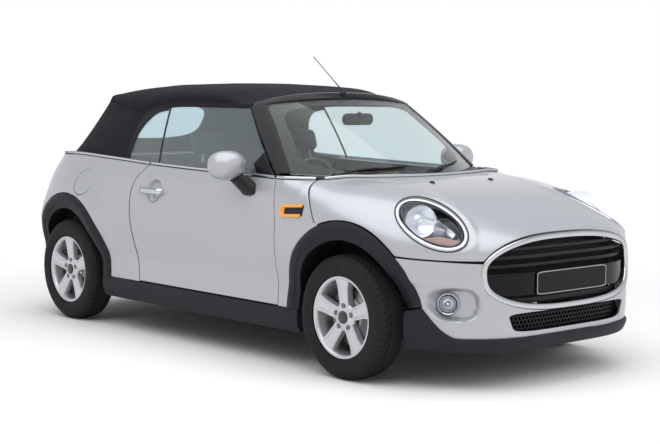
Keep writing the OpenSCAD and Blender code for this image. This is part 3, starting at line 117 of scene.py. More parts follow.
# The dome is white to the camera and at the horizon, and greyer overhead, as an overcast sky is.
SKY_LIGHT = 0.62
world = bpy.data.worlds.new("overcast")
scene.world = world
world.use_nodes = True
sky = world.node_tree
sky.nodes.clear()
sky_soft = node(sky, "Background", Strength=SKY_LIGHT)
sky_seen = node(sky, "Background")
sky_place = node(sky, "TexCoord")
sky_height = node(sky, "SeparateXYZ")
sky_ramp = node(sky, "ValToRGB")
SKY_STOPS = ((0.16, (1, 1, 1, 1)), (0.62, (0.58, 0.6, 0.64, 1)))
for stop, (place, colour) in zip(sky_ramp.color_ramp.elements, SKY_STOPS):
    stop.color = colour
    stop.position = place
sky_mix = node(sky, "MixShader")
wire(sky, (sky_place.outputs["Generated"], sky_height.inputs[0]),
     (sky_height.outputs["Z"], sky_ramp.inputs[0]),
     (sky_ramp.outputs[0], sky_seen.inputs["Color"]), (seen_rays(sky), sky_mix.inputs[0]),
     (sky_soft.outputs[0], sky_mix.inputs[1]), (sky_seen.outputs[0], sky_mix.inputs[2]),
     (sky_mix.outputs[0], node(sky, "OutputWorld").inputs[0]))
LAMP_AIM = np.array([0.2, 0, 0.5])
for lamp_name, lamp_at, lamp_size, lamp_power in (("overhead", (0.8, -1.0, 5.2), 9.0, 360.0),
                                                  ("front", (6.5, 1.5, 4.0), 4.0, 105.0)):
    lamp = bpy.data.objects.new(lamp_name, bpy.data.lights.new(lamp_name, "AREA"))
    lamp.data.size = lamp_size
    lamp.data.energy = lamp_power
    aim = LAMP_AIM - lamp_at
    lamp.location = lamp_at
    lamp.visible_glossy = lamp_name == "overhead"
    lamp.rotation_mode = "QUATERNION"
    lamp.rotation_quaternion = Vector(aim.tolist()).to_track_quat("-Z", "Y")
    scene.collection.objects.link(lamp)


# Underbody: pressed and welded steel floor, sills, bulkheads and inner arches, sprayed with dark sealer.
# Engine block, suspension arms and exhaust hang from it on rubber-bushed bolts.
def socketed(name, outputs, **inputs):
    """Empty shader node group with number sockets: labels of outputs, labels and start values of inputs."""
    tree = bpy.data.node_groups.new(name, "ShaderNodeTree")
    for label, value in inputs.items():
        socket = tree.interface.new_socket(name=label, in_out="INPUT", socket_type="NodeSocketFloat")
        socket.default_value = value
    for label in outputs:
        tree.interface.new_socket(name=label, in_out="OUTPUT", socket_type="NodeSocketFloat")
    return tree, tree.nodes.new("NodeGroupInput"), tree.nodes.new("NodeGroupOutput")


# Mottle: broad noise for dirt and shade, fine noise for grain.
mottle, mottle_in, mottle_out = socketed("mottle", ("Mask", "Height"), Scale=10.0, Grain=800.0)
mottle_place = node(mottle, "TexCoord")
for size_label, out_label, detail in (("Scale", "Mask", 5.0), ("Grain", "Height", 2.0)):
    noise = node(mottle, "TexNoise", Detail=detail)
    wire(mottle, (mottle_place.outputs["Object"], noise.inputs["Vector"]),
         (mottle_in.outputs[size_label], noise.inputs["Scale"]),
         (noise.outputs[0], mottle_out.inputs[out_label]))
COLOUR_A, COLOUR_B, COLOUR_OUT = 6, 7, 2


def finish(name, colour, roughness, metallic=0.0, vary=0.1, scale=9.0, grain=900.0, depth=0.08, **sockets):
    """Material whose colour and roughness drift by the share vary either way with the mottle mask,
    and whose fine grain lifts a bump of strength depth; other values sit on the shader's own sockets."""
    look = bpy.data.materials.new(name)
    look.use_nodes = True
    tree = look.node_tree
    shader = tree.nodes["Principled BSDF"]
    spots = node(tree, "Group", mottle, Scale=scale, Grain=grain)
    tint = node(tree, "Mix")
    tint.data_type = "RGBA"
    tint.inputs[COLOUR_A].default_value = [c * (1 - vary) for c in colour] + [1]
    tint.inputs[COLOUR_B].default_value = [min(1.0, c * (1 + vary)) for c in colour] + [1]
    gloss = node(tree, "MapRange", To_Min=roughness * (1 - vary), To_Max=min(1.0, roughness * (1 + vary)))
    lift = node(tree, "Bump", Strength=depth, Distance=MM)
    wire(tree, (spots.outputs["Mask"], tint.inputs[0]), (spots.outputs["Mask"], gloss.inputs[0]),
         (spots.outputs["Height"], lift.inputs["Height"]),
         (tint.outputs[COLOUR_OUT], shader.inputs["Base Color"]),
         (gloss.outputs[0], shader.inputs["Roughness"]), (lift.outputs[0], shader.inputs["Normal"]))
    for label, value in {"Metallic": metallic, **sockets}.items():
        shader.inputs[label.replace("_", " ")].default_value = value
    return look


def dress(look, *names):
    """Gives carried-over solids their finish."""
    for name in names:
        cad[name].data.materials.clear()
        cad[name].data.materials.append(look)


sealer = finish("sealer_black", (0.022, 0.022, 0.024), 0.75, vary=0.35, grain=260, depth=0.3)
cast_iron = finish("cast_grey", (0.13, 0.13, 0.135), 0.5, metallic=0.6, vary=0.3, grain=500, depth=0.3)
exhaust_steel = finish("exhaust_steel", (0.42, 0.4, 0.38), 0.35, metallic=0.95, vary=0.25)
dress(sealer, "floor_pan", "floor_tunnel", "floor_sills", "front_rails", "rear_floor", "wheel_houses")
dress(finish("primer_grey", (0.07, 0.07, 0.075), 0.6, vary=0.25), "bulkheads", "bonnet_hinges")
dress(cast_iron, "engine", "front_suspension", "rear_suspension", "knuckle_right", "knuckle_left")
dress(exhaust_steel, "exhaust")


# Road wheels: one-piece cast alloy with five broad spokes, silver lacquered, bolted to the hub by five bolts.
# Each has a rim barrel, a spoke face, a black centre cap, and a steel brake disc behind.
def lattice(nu, nv, close_u=False, close_v=False):
    """Quads of a grid of nu by nv points, joined round where a direction is closed."""
    i = np.arange(nu if close_u else nu - 1)[:, None]
    j = np.arange(nv if close_v else nv - 1)[None, :]
    corners = [i * nv + j, (i + 1) % nu * nv + j, (i + 1) % nu * nv + (j + 1) % nv, i * nv + (j + 1) % nv]
    return np.stack(corners, -1).reshape(-1, 4).tolist()


def grid(net, close_u=False, close_v=False):
    """A net of points as a shape: its points in a row, and its quads."""
    return net.reshape(-1, 3), lattice(*net.shape[:2], close_u, close_v)


def settle(thing):
    """Applies a piece's modifiers, so the finished mesh is its own."""
    bpy.context.view_layer.update()
    seen = thing.evaluated_get(bpy.context.evaluated_depsgraph_get())
    old = thing.data
    thing.data = bpy.data.meshes.new_from_object(seen)
    thing.modifiers.clear()
    bpy.data.meshes.remove(old)


def soften(thing, sharp):
    """Smooth shading, with creases where faces meet at more than sharp degrees."""
    thing.data.polygons.foreach_set("use_smooth", np.ones(len(thing.data.polygons), bool))
    thing.data.set_sharp_from_angle(angle=np.radians(sharp))


def round_edges(thing, width, angle):
    """Adds a bevel to the edges where faces meet at more than angle degrees."""
    edge = thing.modifiers.new("edge", "BEVEL")
    edge.width = width * MM
    edge.segments = 2
    edge.limit_method = "ANGLE"
    edge.angle_limit = np.radians(angle)


def mesh_of(name, points, faces):
    """New mesh from points in millimetres and faces."""
    mesh = bpy.data.meshes.new(name)
    mesh.from_pydata((np.asarray(points, float) * MM).tolist(), [], faces)
    return mesh


def piece(name, shape, look, slot, nodes=(), body="car_body", wall=0.0, bevel=0.0, sharp=35, turn=False):
    """One object from a shape of points and faces, its wall grown inwards and its edges rounded;
    turn flips the faces of a mirrored or left-handed grid."""
    mesh = mesh_of(name, *shape)
    if turn:
        mesh.flip_normals()
    thing = bpy.data.objects.new(name, mesh)
    scene.collection.objects.link(thing)
    mesh.materials.append(look)
    if wall:
        skin = thing.modifiers.new("wall", "SOLIDIFY")
        skin.thickness = wall * MM
        skin.offset = -1
        skin.use_even_offset = True
    if bevel:
        round_edges(thing, bevel, 40)
    if wall or bevel:
        settle(thing)
    soften(thing, sharp)
    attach(thing, body)
    if nodes:
        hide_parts(*nodes)
    return thing


def join(*parts):
    """Several point and face lists as one."""
    points, faces, base = [], [], 0
    for p, f in parts:
        p = np.asarray(p, float).reshape(-1, 3)
        points.append(p)
        faces += [[v + base for v in face] for face in f]
        base += len(p)
    return np.concatenate(points), faces


def revolve(profile, n, close=True):
    """A profile of radius and height turned about the height axis; with close the profile is a loop."""
    r, h = np.asarray(profile, float).T
    a = np.arange(n) * 2 * np.pi / n
    net = np.stack([r * np.cos(a)[:, None], r * np.sin(a)[:, None], np.broadcast_to(h, (n, len(r)))], -1)
    return grid(net, True, close)


def round_loop(profile, n=3):
    """A closed profile with each corner cut by Chaikin's rule, one time fewer than n."""
    p = np.asarray(profile, float)
    for _ in range(n - 1):
        q = np.roll(p, -1, 0)
        p = np.stack([0.75 * p + 0.25 * q, 0.25 * p + 0.75 * q], 1).reshape(-1, p.shape[1])
    return p


WHEEL_Y, AXLE_Z, FRONT_AXLE, REAR_AXLE = 750.5, 304.0, 1150.0, -1345.0
BOLT_CIRCLE, SPOKE_FROM, SPOKE_TO = 56.0, 46, 187
SPOKE_ANGLES = [90.0 + 72 * k for k in range(5)]
wheel_places = [("fr", FRONT_AXLE, -1), ("fl", FRONT_AXLE, 1), ("rr", REAR_AXLE, -1), ("rl", REAR_AXLE, 1)]
silver_lacquer = finish("wheel_silver", (0.56, 0.57, 0.59), 0.33, metallic=0.75, vary=0.06, grain=1500,
                        depth=0.03, Coat_Weight=0.6)
disc_steel = finish("disc_steel", (0.33, 0.32, 0.31), 0.4, metallic=0.9, vary=0.2, scale=40)
cap_black = finish("cap_black", (0.012, 0.012, 0.013), 0.22, vary=0.2, Coat_Weight=0.4)
bolt_steel = finish("bolt_steel", (0.2, 0.2, 0.21), 0.35, metallic=0.8, vary=0.2)
rim_loop = round_loop([[178, -74], [202, -74], [202, -67], [190, -62], [190, -34], [183, -22], [183, 20],
                       [190, 34], [190, 64], [202, 68], [203, 76], [196, 79], [186, 74], [180, 60], [176, 30],
                       [174, 0], [180, -40]])
hub_loop = round_loop([[0.5, 62], [33, 62], [44, 60], [64, 56], [72, 48], [72, 30], [0.5, 30]], 2)
disc_loop = round_loop([[60, -8], [139, -8], [139, 10], [100, 10], [98, 24], [60, 24]], 2)
cap_loop = [[0.5, 70], [24, 69], [31, 66], [33, 60], [33, 40], [0.5, 40]]
bolt_loop = [[0.5, 61], [6, 61], [8, 59], [8, 50], [0.5, 50]]
# The rings round the bolts take the cap's black on the alloy: painted shade of the bolt pockets.
bolt_shade_loop = [[9, 66], [13, 66], [13, 52], [9, 52]]


def spoke(angle):
    """One spoke: share s along the radius and share t across; the width swells from the hub to the rim,
    the face crowns down to both sides, carries two shallow pressed lines, and turns under at the edges."""
    s = np.linspace(0, 1, 22)[:, None]
    t = np.linspace(-1, 1, 25)[None, :]
    r = SPOKE_FROM + (SPOKE_TO - SPOKE_FROM) * s
    half = 31 + 9 * s + 26 * np.clip(s - 0.62, 0, 1) ** 2 * 3
    edge = np.clip((np.abs(t) - 0.86) / 0.14, 0, 1)
    line = np.exp(-((np.abs(t) - 0.56) / 0.07) ** 2) * np.clip(s * 5, 0, 1) * np.clip((1 - s) * 6, 0, 1)
    h = 60 + 13 * s ** 1.4 - 4 * (1 - s) ** 4 - 3 * t ** 2 - 3.2 * line - 30 * edge ** 1.6
    y = half * np.sign(t) * np.minimum(np.abs(t) / 0.9, 1 + 0.02 * edge)
    a = np.radians(angle)
    x = r + 0 * t
    y = y + 0 * r
    return grid(np.stack([x * np.cos(a) - y * np.sin(a), x * np.sin(a) + y * np.cos(a), h + 0 * x], -1))


def bolt_ring(shape, lift=0):
    """A turned shape repeated round the bolt circle."""
    points, faces = shape
    turns = np.radians(SPOKE_ANGLES)
    return join(*[(points + [BOLT_CIRCLE * np.cos(a), BOLT_CIRCLE * np.sin(a), lift], faces) for a in turns])


def at_wheel(shape, x, side):
    """A shape with the height axis turned outboard on one side of the car."""
    p, faces = shape
    return np.stack([x + p[:, 0], side * (WHEEL_Y + p[:, 2]), AXLE_Z + p[:, 1]], -1), faces


cast = join(revolve(rim_loop, 120), revolve(hub_loop, 80), *[spoke(a) for a in SPOKE_ANGLES])
wheel_parts = (("rim", cast, silver_lacquer, "alloy"),
               ("cap", revolve(cap_loop, 48), cap_black, "black_plastic"),
               ("bolts", bolt_ring(revolve(bolt_loop, 6)), bolt_steel, "running_gear"),
               ("bolt_shade", bolt_ring(revolve(bolt_shade_loop, 24), -6), cap_black, "alloy"),
               ("disc", revolve(disc_loop, 90), disc_steel, "running_gear"))
for tag, wheel_x, side in wheel_places:
    for label, shape, look, slot in wheel_parts:
        swaps = ("wheel_" + tag,) if label == "rim" else ()
        piece(f"{label}_{tag}", at_wheel(shape, wheel_x, side), look, slot, swaps, "wheel_" + tag,
              turn=side > 0)

# Tyres: moulded black rubber with a road tread, beaded onto the rim and held by air pressure.
TYRE_R, TREAD_HALF, BEAD_R = 304.0, 62, 203.5
rubber = finish("tyre_rubber", (0.009, 0.009, 0.0105), 0.8, vary=0.3, scale=25, grain=500, depth=0.15,
                Specular_IOR_Level=0.3)
tread_w = np.linspace(-1, 1, 41)
tread_h = TREAD_HALF * tread_w
tread_r = TYRE_R - 4 * np.abs(tread_w) ** 3
wall_s = np.linspace(0, 1, 15)[1:]
wall_h = (TREAD_HALF + 25.5 * np.sin(np.pi * 0.5 * np.minimum(wall_s * 1.9, 1))
          - 12 * np.clip(wall_s - 0.6, 0, 1) ** 1.3 * 1.6)
wall_r = 300 + (BEAD_R - 300) * wall_s ** 1.15
tyre_h = np.concatenate([-wall_h[::-1], tread_h, wall_h])
tyre_r = np.concatenate([wall_r[::-1], tread_r, wall_r])


def tread(n=300):
    """Tyre outside: the profile turned about the axle, less three grooves round and slanted cuts between
    blocks at both shoulders, and with thin raised rings on the side walls."""
    a = np.arange(n)[:, None] * 2 * np.pi / n
    h, r = tyre_h[None, :], tyre_r[None, :]
    groove = np.max([np.exp(-((h - c) / 4.2) ** 6) for c in (-27, 0, 27)], 0)
    slant = np.mod(np.arange(n)[:, None] + np.round(np.abs(h) / 9), 5) < 1
    cuts = slant & (np.abs(h) > 33) & (r > 286)
    ring = np.exp(-((r - 262) / 2.5) ** 2) + np.exp(-((r - 232) / 2) ** 2) + np.exp(-((r - 284) / 2) ** 2)
    rr = r - 7 * groove * (np.abs(h) < 61) - 5.5 * cuts
    hh = h + np.sign(h) * 1.3 * ring * (np.abs(h) > TREAD_HALF) + 0 * a
    return grid(np.stack([rr * np.cos(a), rr * np.sin(a), hh], -1), True)


tyre = tread()
for tag, wheel_x, side in wheel_places:
    piece("rubber_" + tag, at_wheel(tyre, wheel_x, side), rubber, "tyre_rubber", ("tyre_" + tag,),
          "wheel_" + tag, sharp=28, turn=side > 0)

# Front bumper: moulded plastic skin painted with the body, clipped to the wings, with openings for the grille,
# the lower intake and two fog lamps that sit in shallow oval dishes.
FRONT_X, MID_X, NOSE_POWER, TAIL_POWER = 1910.5, 200.0, 4.0, 8.5
FLARE_OUT, FLARE_REACH, FLARE_R, WAIST_Z, SHUT, SEAM = 45.0, 130.0, 447.5, 600.0, 5.0, 0.4
side_table = [[150, 790], [300, 806], [350, 800], [430, 790], [530, 803], [630, 815], [760, 808], [880, 786],
              [960, 752], [1020, 728]]
nose_table = [[150, 78], [240, 24], [330, 12], [420, 4], [520, 10], [600, 22]]
tail_table = [[180, 60], [300, 14], [420, 0], [540, 4], [640, 20], [740, 45], [840, 80], [940, 125],
              [1020, 170]]
bonnet_table = [[-1120, 966], [-980, 950], [-760, 938], [-360, 897], [-140, 866], [0, 845]]
bonnet_power = [[-1120, 6.5], [-760, 4.8], [-300, 3], [0, 2.8]]
belt_table = [[-1760, 985], [-1420, 1004], [-1000, 992], [-470, 970], [570, 946], [820, 949]]


def mix(a, b, s):
    """From a to b by the share s."""
    return a + (b - a) * s


def curve(table, k):
    """Smooth cubic through the rows of a table, with slopes taken from the neighbouring rows."""
    t = np.asarray(table, float)
    x, y = t[:, 0], t[:, 1]
    k = np.asarray(k, float)
    i = np.clip(np.searchsorted(x, k, side="right") - 1, 0, len(x) - 2)
    row = np.arange(len(x))
    before, after = np.maximum(row - 1, 0), np.minimum(row + 1, len(x) - 1)
    slope = (y[after] - y[before]) / (x[after] - x[before])
    h = x[i + 1] - x[i]
    s = np.clip((k - x[i]) / h, 0, 1)
    a, b = s * s, s ** 3
    return ((2 * b - 3 * a + 1) * y[i] + (b - 2 * a + s) * slope[i] * h + (3 * a - 2 * b) * y[i + 1]
            + (b - a) * slope[i + 1] * h)


def lame(b, m):
    """Unit super-ellipse point at angle b in degrees."""
    c, s = np.cos(np.radians(b)), np.sin(np.radians(b))
    n = (np.abs(c) ** m + np.abs(s) ** m) ** (1 / m)
    return c / n, s / n


def half_w(z):
    """Half width of the body at a height."""
    return curve(side_table, z)


def nose_x(z):
    """Station of the nose on the centre line at a height."""
    return FRONT_X - curve(nose_table, z)


def tail_x(z):
    """Station of the tail on the centre line at a height."""
    return -FRONT_X + curve(tail_table, z)


def belt_z(x):
    """Height of the belt at a station."""
    return curve(belt_table, x)


def flare(x, z):
    """Swelling over both wheels: a bell of the distance from the axle, fading in above the sills."""
    s = np.clip((z - 260) / 420, 0, 1)
    bells = sum(np.exp(-((np.hypot(x - axle, z - AXLE_Z) - FLARE_R) / FLARE_REACH) ** 2)
                for axle in (FRONT_AXLE, REAR_AXLE))
    return FLARE_OUT * s * s * (3 - 2 * s) * bells


def stack(x, y, z):
    """Points from three coordinates, spread over each other's shapes."""
    return np.stack(np.broadcast_arrays(x, y, z), -1).astype(float)


def nose_point(b, z):
    """Body below the waist ahead of the widest station, by plan angle from the nose."""
    lx, ly = lame(b, NOSE_POWER)
    x = MID_X + (nose_x(z) - MID_X) * lx
    return stack(x, (half_w(z) + flare(x, z)) * ly, z)


def tail_point(b, z):
    """Body behind the widest station, by plan angle from the tail."""
    lx, ly = lame(b, TAIL_POWER)
    x = MID_X - (MID_X - tail_x(z)) * lx
    return stack(x, (half_w(z) + flare(x, z)) * ly, z)


def corner(t, m):
    """Other coordinate of the unit super-ellipse of power m."""
    return np.maximum(0, 1 - np.abs(t) ** m) ** (1 / m)


def nose_angle(x, z):
    """Plan angle of a station ahead of the widest one."""
    t = (x - MID_X) / (nose_x(z) - MID_X)
    return np.degrees(np.arctan2(corner(t, NOSE_POWER), t))


def tail_angle(x, z):
    """Plan angle of a station behind the widest one."""
    t = (MID_X - x) / (MID_X - tail_x(z))
    return np.degrees(np.arctan2(corner(t, TAIL_POWER), t))


def nose_angle_y(y, z):
    """Plan angle of a width across the nose."""
    s = y / half_w(z)
    return np.degrees(np.arctan2(s, corner(s, NOSE_POWER)))


def tail_angle_y(y, z):
    """Plan angle of a width across the tail."""
    s = y / half_w(z)
    return np.degrees(np.arctan2(s, corner(s, TAIL_POWER)))


def side_y(x, z):
    """Half width of the body at a station and height."""
    x, z = np.broadcast_arrays(np.asarray(x, float), np.asarray(z, float))
    ahead = nose_point(nose_angle(np.maximum(x, MID_X), z), z)[..., 1]
    behind = tail_point(tail_angle(np.minimum(x, MID_X), z), z)[..., 1]
    return np.where(x > MID_X, ahead, behind)


def normals(net):
    """Unit normals of a grid of points, from the cross product of its two directions."""
    n = np.cross(np.gradient(net, axis=0), np.gradient(net, axis=1))
    return n / np.maximum(np.linalg.norm(n, axis=-1, keepdims=True), 1e-9)


def cut(thing, *prisms):
    """Takes closed prisms out of a piece."""
    for points, faces in prisms:
        mesh = mesh_of("cutter", points, faces)
        shape = bmesh.new()
        shape.from_mesh(mesh)
        bmesh.ops.recalc_face_normals(shape, faces=shape.faces)
        shape.to_mesh(mesh)
        shape.free()
        tool = bpy.data.objects.new("cutter", mesh)
        scene.collection.objects.link(tool)
        saw = thing.modifiers.new("saw", "BOOLEAN")
        saw.object = tool
        saw.solver = "EXACT"
        settle(thing)
        bpy.data.objects.remove(tool)
    return thing


def trim_edges(thing, width):
    """Rounds the cut and outer edges of a panel."""
    round_edges(thing, width, 45)
    settle(thing)
    soften(thing, 35)


def prism(ring_a, ring_b):
    """Closed prism between two rings of as many points."""
    n = len(ring_a)
    i = np.arange(n)
    sides = np.stack([i, (i + 1) % n, (i + 1) % n + n, i + n], -1).tolist()
    return np.concatenate([ring_a, ring_b]), sides + [list(range(n))[::-1], list(range(n, 2 * n))]


def along_x(outline, x0, x1):
    """Prism along the car from an outline of width and height."""
    o = np.asarray(outline, float)
    return prism(stack(x0, o[:, 0], o[:, 1]), stack(x1, o[:, 0], o[:, 1]))


def frame_of(axis):
    """Two directions square to an axis, and the axis."""
    a = np.asarray(axis, float) / np.linalg.norm(axis)
    u = np.cross([0, 0, 1.0], a)
    u /= np.linalg.norm(u)
    return u, np.cross(a, u), a


def set_on(shape, centre, axis, way=1):
    """Turned shape with its height axis laid along axis at centre; way mirrors it in the end."""
    points, faces = shape
    return (np.asarray(centre) + points @ np.stack(frame_of(axis))) * way, faces


def drum(r, low, high, n):
    """Upright cylinder between two heights."""
    return revolve([[0.5, low], [r, low], [r, high], [0.5, high]], n)


paint = finish("silver_paint", (0.47, 0.48, 0.51), 0.33, metallic=0.5, vary=0.025, scale=3.0, grain=2600,
               depth=0.035, Coat_Weight=0.6, Coat_Roughness=0.03, Coat_IOR=1.3,
               Specular_Tint=(0.6, 0.61, 0.65, 1))
ARCH_FRONT, ARCH_REAR, ARCH_RZ, ARCH_SEAM, ARCH_BAND = 430.0, 450.0, 465.0, 2.6, 90.0
RING_HW, RING_Z, RING_UP, RING_DOWN, RING_POWER, RING_R = 528.0, 545.0, 160.0, 165.0, 2.7, 15.0
FOG_C, FOG_R = np.array([1688.0, 645, 414]), 52.0
fog_tilt, fog_turn = np.radians(78), np.radians(40)
FOG_AXIS = np.array([np.sin(fog_tilt) * np.cos(fog_turn), np.sin(fog_tilt) * np.sin(fog_turn),
                     np.cos(fog_tilt)])
FLIP = np.array([1.0, -1, 1])


def arch_dx(z, rx, rz):
    """Half length of a wheel arch curve at a height."""
    return np.where(z <= AXLE_Z, rx, rx * np.sqrt(np.maximum(0, 1 - ((z - AXLE_Z) / rz) ** 2)))


def bumper_edge(z):
    """Plan angle where the bumper meets the front wheel arch."""
    return nose_angle(FRONT_AXLE + arch_dx(z, ARCH_FRONT + ARCH_SEAM, ARCH_RZ + ARCH_SEAM), z)


def skirt_edge(u):
    """Height of the bumper's lower edge: level, rising with the square near both ends."""
    return 252 + 134 * np.maximum(0, (np.abs(u) - 0.86) / 0.14) ** 2


def ring_outline(a, off):
    """Grille ring in front view: a super-ellipse with unequal rise and drop, grown by off."""
    lx, ly = lame(a, RING_POWER)
    return (RING_HW + off) * lx, RING_Z + (np.where(ly > 0, RING_UP, RING_DOWN) + off) * ly


def smooth(s):
    """Cubic step from 0 to 1."""
    s = np.clip(s, 0, 1)
    return s * s * (3 - 2 * s)


u = np.linspace(-1, 1, 161)[:, None]
v = np.linspace(0, 1, 49)[None, :]
z = mix(skirt_edge(u), WAIST_Z + 22 * u ** 4 - SHUT, v)
bumper = nose_point(u * bumper_edge(z), z)
wide, tall = np.abs(bumper[..., 1]), bumper[..., 2]
dish = (np.abs((wide - 622) / 76) ** 2.6 + np.abs((tall - 410) / 78) ** 2.6) ** (1 / 2.6)
brow = np.exp(-((tall - 510 - 0.05 * (wide - 500)) / 26) ** 2) * smooth((wide - 470) / 120)
bumper = bumper - normals(bumper) * (38 * smooth((1.04 - dish) / 0.3) - 8 * brow)[..., None]
bumper_skin = piece("bumper_front", grid(bumper), paint, "body_paint", ("front_bumper",), wall=9)
around = np.arange(128) * 360 / 128
lx, ly = lame(around, 7)
intake = (412 + 20 * ly) * lx, 321.5 + 46.5 * ly
cuts = [along_x(np.stack(o, -1), 1500, 2050) for o in (ring_outline(around, RING_R + SEAM), intake)]
cuts += [set_on(drum(FOG_R + SEAM, -120, 120, 64), FOG_C, FOG_AXIS, way) for way in (1, FLIP)]
trim_edges(cut(bumper_skin, *cuts), 2.5)

# Front lip: charcoal moulded skirt below the bumper, wrapped round into both wheel arches, screwed to
# the tray.
charcoal = finish("charcoal_grain", (0.0165, 0.018, 0.022), 0.58, vary=0.12, grain=700, depth=0.22,
                  Specular_IOR_Level=0.2)
skirt_table = [[0, 0.55], [0.12, 0.95], [0.5, 1], [0.9, 0.8], [1, 0.05]]
SKIRT_TURN = 0.8
u = np.linspace(-1, 1, 181)[:, None]
v = np.linspace(0, 1, 25)[None, :]
a = np.abs(u)
tip = np.maximum(0, a - SKIRT_TURN) / (1 - SKIRT_TURN)
z = mix(190, np.where(a <= SKIRT_TURN, skirt_edge(np.minimum(a / SKIRT_TURN, 1)), 386 - 18 * tip) - SEAM, v)
edge_b = bumper_edge(z)
b = np.sign(u) * np.where(a <= SKIRT_TURN, edge_b * a / SKIRT_TURN,
                          mix(edge_b, nose_angle(FRONT_AXLE + ARCH_FRONT - ARCH_BAND, z), tip))
skirt = nose_point(b, z)
skirt = skirt + normals(skirt) * (18 * curve(skirt_table, v))[..., None]
piece("front_lip", grid(skirt), charcoal, "charcoal_plastic", ("front_skirt",), wall=24, bevel=2)

# Grille: a chromed ring round a black opening, with three slats, a broad gloss bar that carries a blank plate,
# and a dark backing; all snap into the bumper.
BONNET_W = float(half_w(WAIST_Z))
BONNET_L = float(nose_x(WAIST_Z)) - MID_X


def crown_z(x):
    """Height of the bonnet's centre line."""
    return curve(bonnet_table, x - FRONT_X)


def bonnet_height(x, d):
    """Bonnet height at plan radius d: a super-ellipse from the crown down to the waist."""
    p = curve(bonnet_power, x - FRONT_X)
    return WAIST_Z + (crown_z(x) - WAIST_Z) * np.maximum(0, 1 - np.minimum(d, 1) ** p) ** (1 / p)


def plan_polar(x, y):
    """Plan angle and radius of a plan point."""
    t, s = (x - MID_X) / BONNET_L, np.abs(y) / BONNET_W
    return np.degrees(np.arctan2(s, t)), (np.abs(t) ** NOSE_POWER + s ** NOSE_POWER) ** (1 / NOSE_POWER)


def skin_reach(c, axis):
    """Distance along axis from points c to the bonnet skin, by halving a span of 300 either way."""
    c = np.asarray(c, float)
    lo, hi = np.full(c.shape[:-1], -300.0), np.full(c.shape[:-1], 300.0)
    for _ in range(26):
        m = (lo + hi) / 2
        p = c + np.asarray(axis) * m[..., None]
        f = flare(p[..., 0], p[..., 2]) * np.minimum(1, np.abs(p[..., 1]) / BONNET_W) ** 2
        d = plan_polar(p[..., 0], np.maximum(0, np.abs(p[..., 1]) - f))[1]
        under = (d < 1) & (p[..., 2] < bonnet_height(p[..., 0], d))
        lo, hi = np.where(under, m, lo), np.where(under, hi, m)
    return lo


def skin_x(y, z):
    """Station of the nose skin at a width and height."""
    y, z = np.broadcast_arrays(np.asarray(y, float), np.asarray(z, float))
    low = nose_point(nose_angle_y(np.abs(y), np.minimum(z, WAIST_Z)), np.minimum(z, WAIST_Z))[..., 0]
    high = FRONT_X - 300 + skin_reach(stack(FRONT_X - 300, y, z), [1.0, 0, 0])
    return np.where(z <= WAIST_Z, low, high)


chrome = finish("chrome", (0.6, 0.61, 0.63), 0.07, metallic=1.0, vary=0.03, scale=30, depth=0.0,
                Specular_Tint=(0.42, 0.43, 0.45, 1))
gloss_black = finish("gloss_black", (0.003, 0.003, 0.004), 0.16, vary=0.15, Specular_IOR_Level=0.22)
satin_black = finish("satin_black", (0.007, 0.007, 0.008), 0.45, vary=0.15, grain=800, depth=0.12,
                     Specular_IOR_Level=0.3)
a = np.arange(200) * 1.8
q = -np.radians(np.arange(28) * 360 / 28)
ring_skin = skin_x(*ring_outline(a, 0))
oy, oz = ring_outline(a[:, None], RING_R * np.cos(q)[None, :])
ring = stack(ring_skin[:, None] - 8 + 12 * np.sin(q)[None, :], oy, oz)
piece("grille_surround", grid(ring, True, True), chrome, "chrome_trim", ("grille_ring",), sharp=60)


def tube(net, back=0):
    """A closed section carried along a path, capped at both ends; back is the cap that runs backwards."""
    n, m = net.shape[:2]
    caps = [list(range(m)), list(range((n - 1) * m, n * m))]
    caps[back].reverse()
    return net.reshape(-1, 3), lattice(n, m, False, True) + caps


def ring_half(z):
    """Half width of the grille opening at a height."""
    rise = np.where(z > RING_Z, RING_UP, RING_DOWN)
    return RING_HW * np.maximum(0, 1 - np.abs((z - RING_Z) / rise) ** RING_POWER) ** (1 / RING_POWER)


def nose_strip(z0, z1, depth, t, fade=0.0, n=81):
    """Bar across the nose within the ring: a rounded section from z0 to z1, t deep, depth behind the skin."""
    zc = (z0 + z1) / 2
    y = np.linspace(-1, 1, n) * (ring_half(zc) - 2)
    x = skin_x(y, zc) - depth - fade * np.abs(np.linspace(-1, 1, n)) ** 4
    section = round_loop([[0, z0 + 2], [-3, z0], [-t, z0], [-t, z1], [-3, z1], [0, z1 - 2]], 3)
    return tube(stack(x[:, None] + section[None, :, 0], y[:, None], section[None, :, 1]), 1)


slats = [nose_strip(z0, z1, 40, t)
         for z0, z1, t in ((404, 432, 30), (572, 590, 40), (612, 630, 40), (651, 667, 36))]
# Thin grey lines on the upper slats' top edges, on black plastic: painted highlight where the edges catch
# light.
lines = [nose_strip(z0, z0 + 3, 38.5, 6) for z0 in (586, 626, 663)]
slat_highlight = finish("slat_highlight", (0.09, 0.09, 0.095), 0.3, metallic=0.4)
piece("grille_slats", join(*slats), satin_black, "black_plastic", ("grilles",), turn=True)
piece("grille_bar", nose_strip(446, 552, 14, 30, 20), gloss_black, "black_plastic", turn=True)
piece("slat_highlights", join(*lines), slat_highlight, "black_plastic", turn=True)
zz = np.linspace(388, 698, 25)[None, :]
yy = np.linspace(-1, 1, 61)[:, None] * (ring_half(zz) - 4)
piece("grille_backing", grid(stack(skin_x(yy, zz) - 118, yy, zz)), sealer, "black_plastic")

# Number plates: blank pressed plates with a thin pale edge, screwed through to the bar and to the boot lid.
plate_dark = finish("plate_dark", (0.0075, 0.009, 0.0105), 0.4, vary=0.1, Specular_IOR_Level=0.15)
plate_pale = finish("plate_edge", (0.3, 0.31, 0.33), 0.4, vary=0.06)


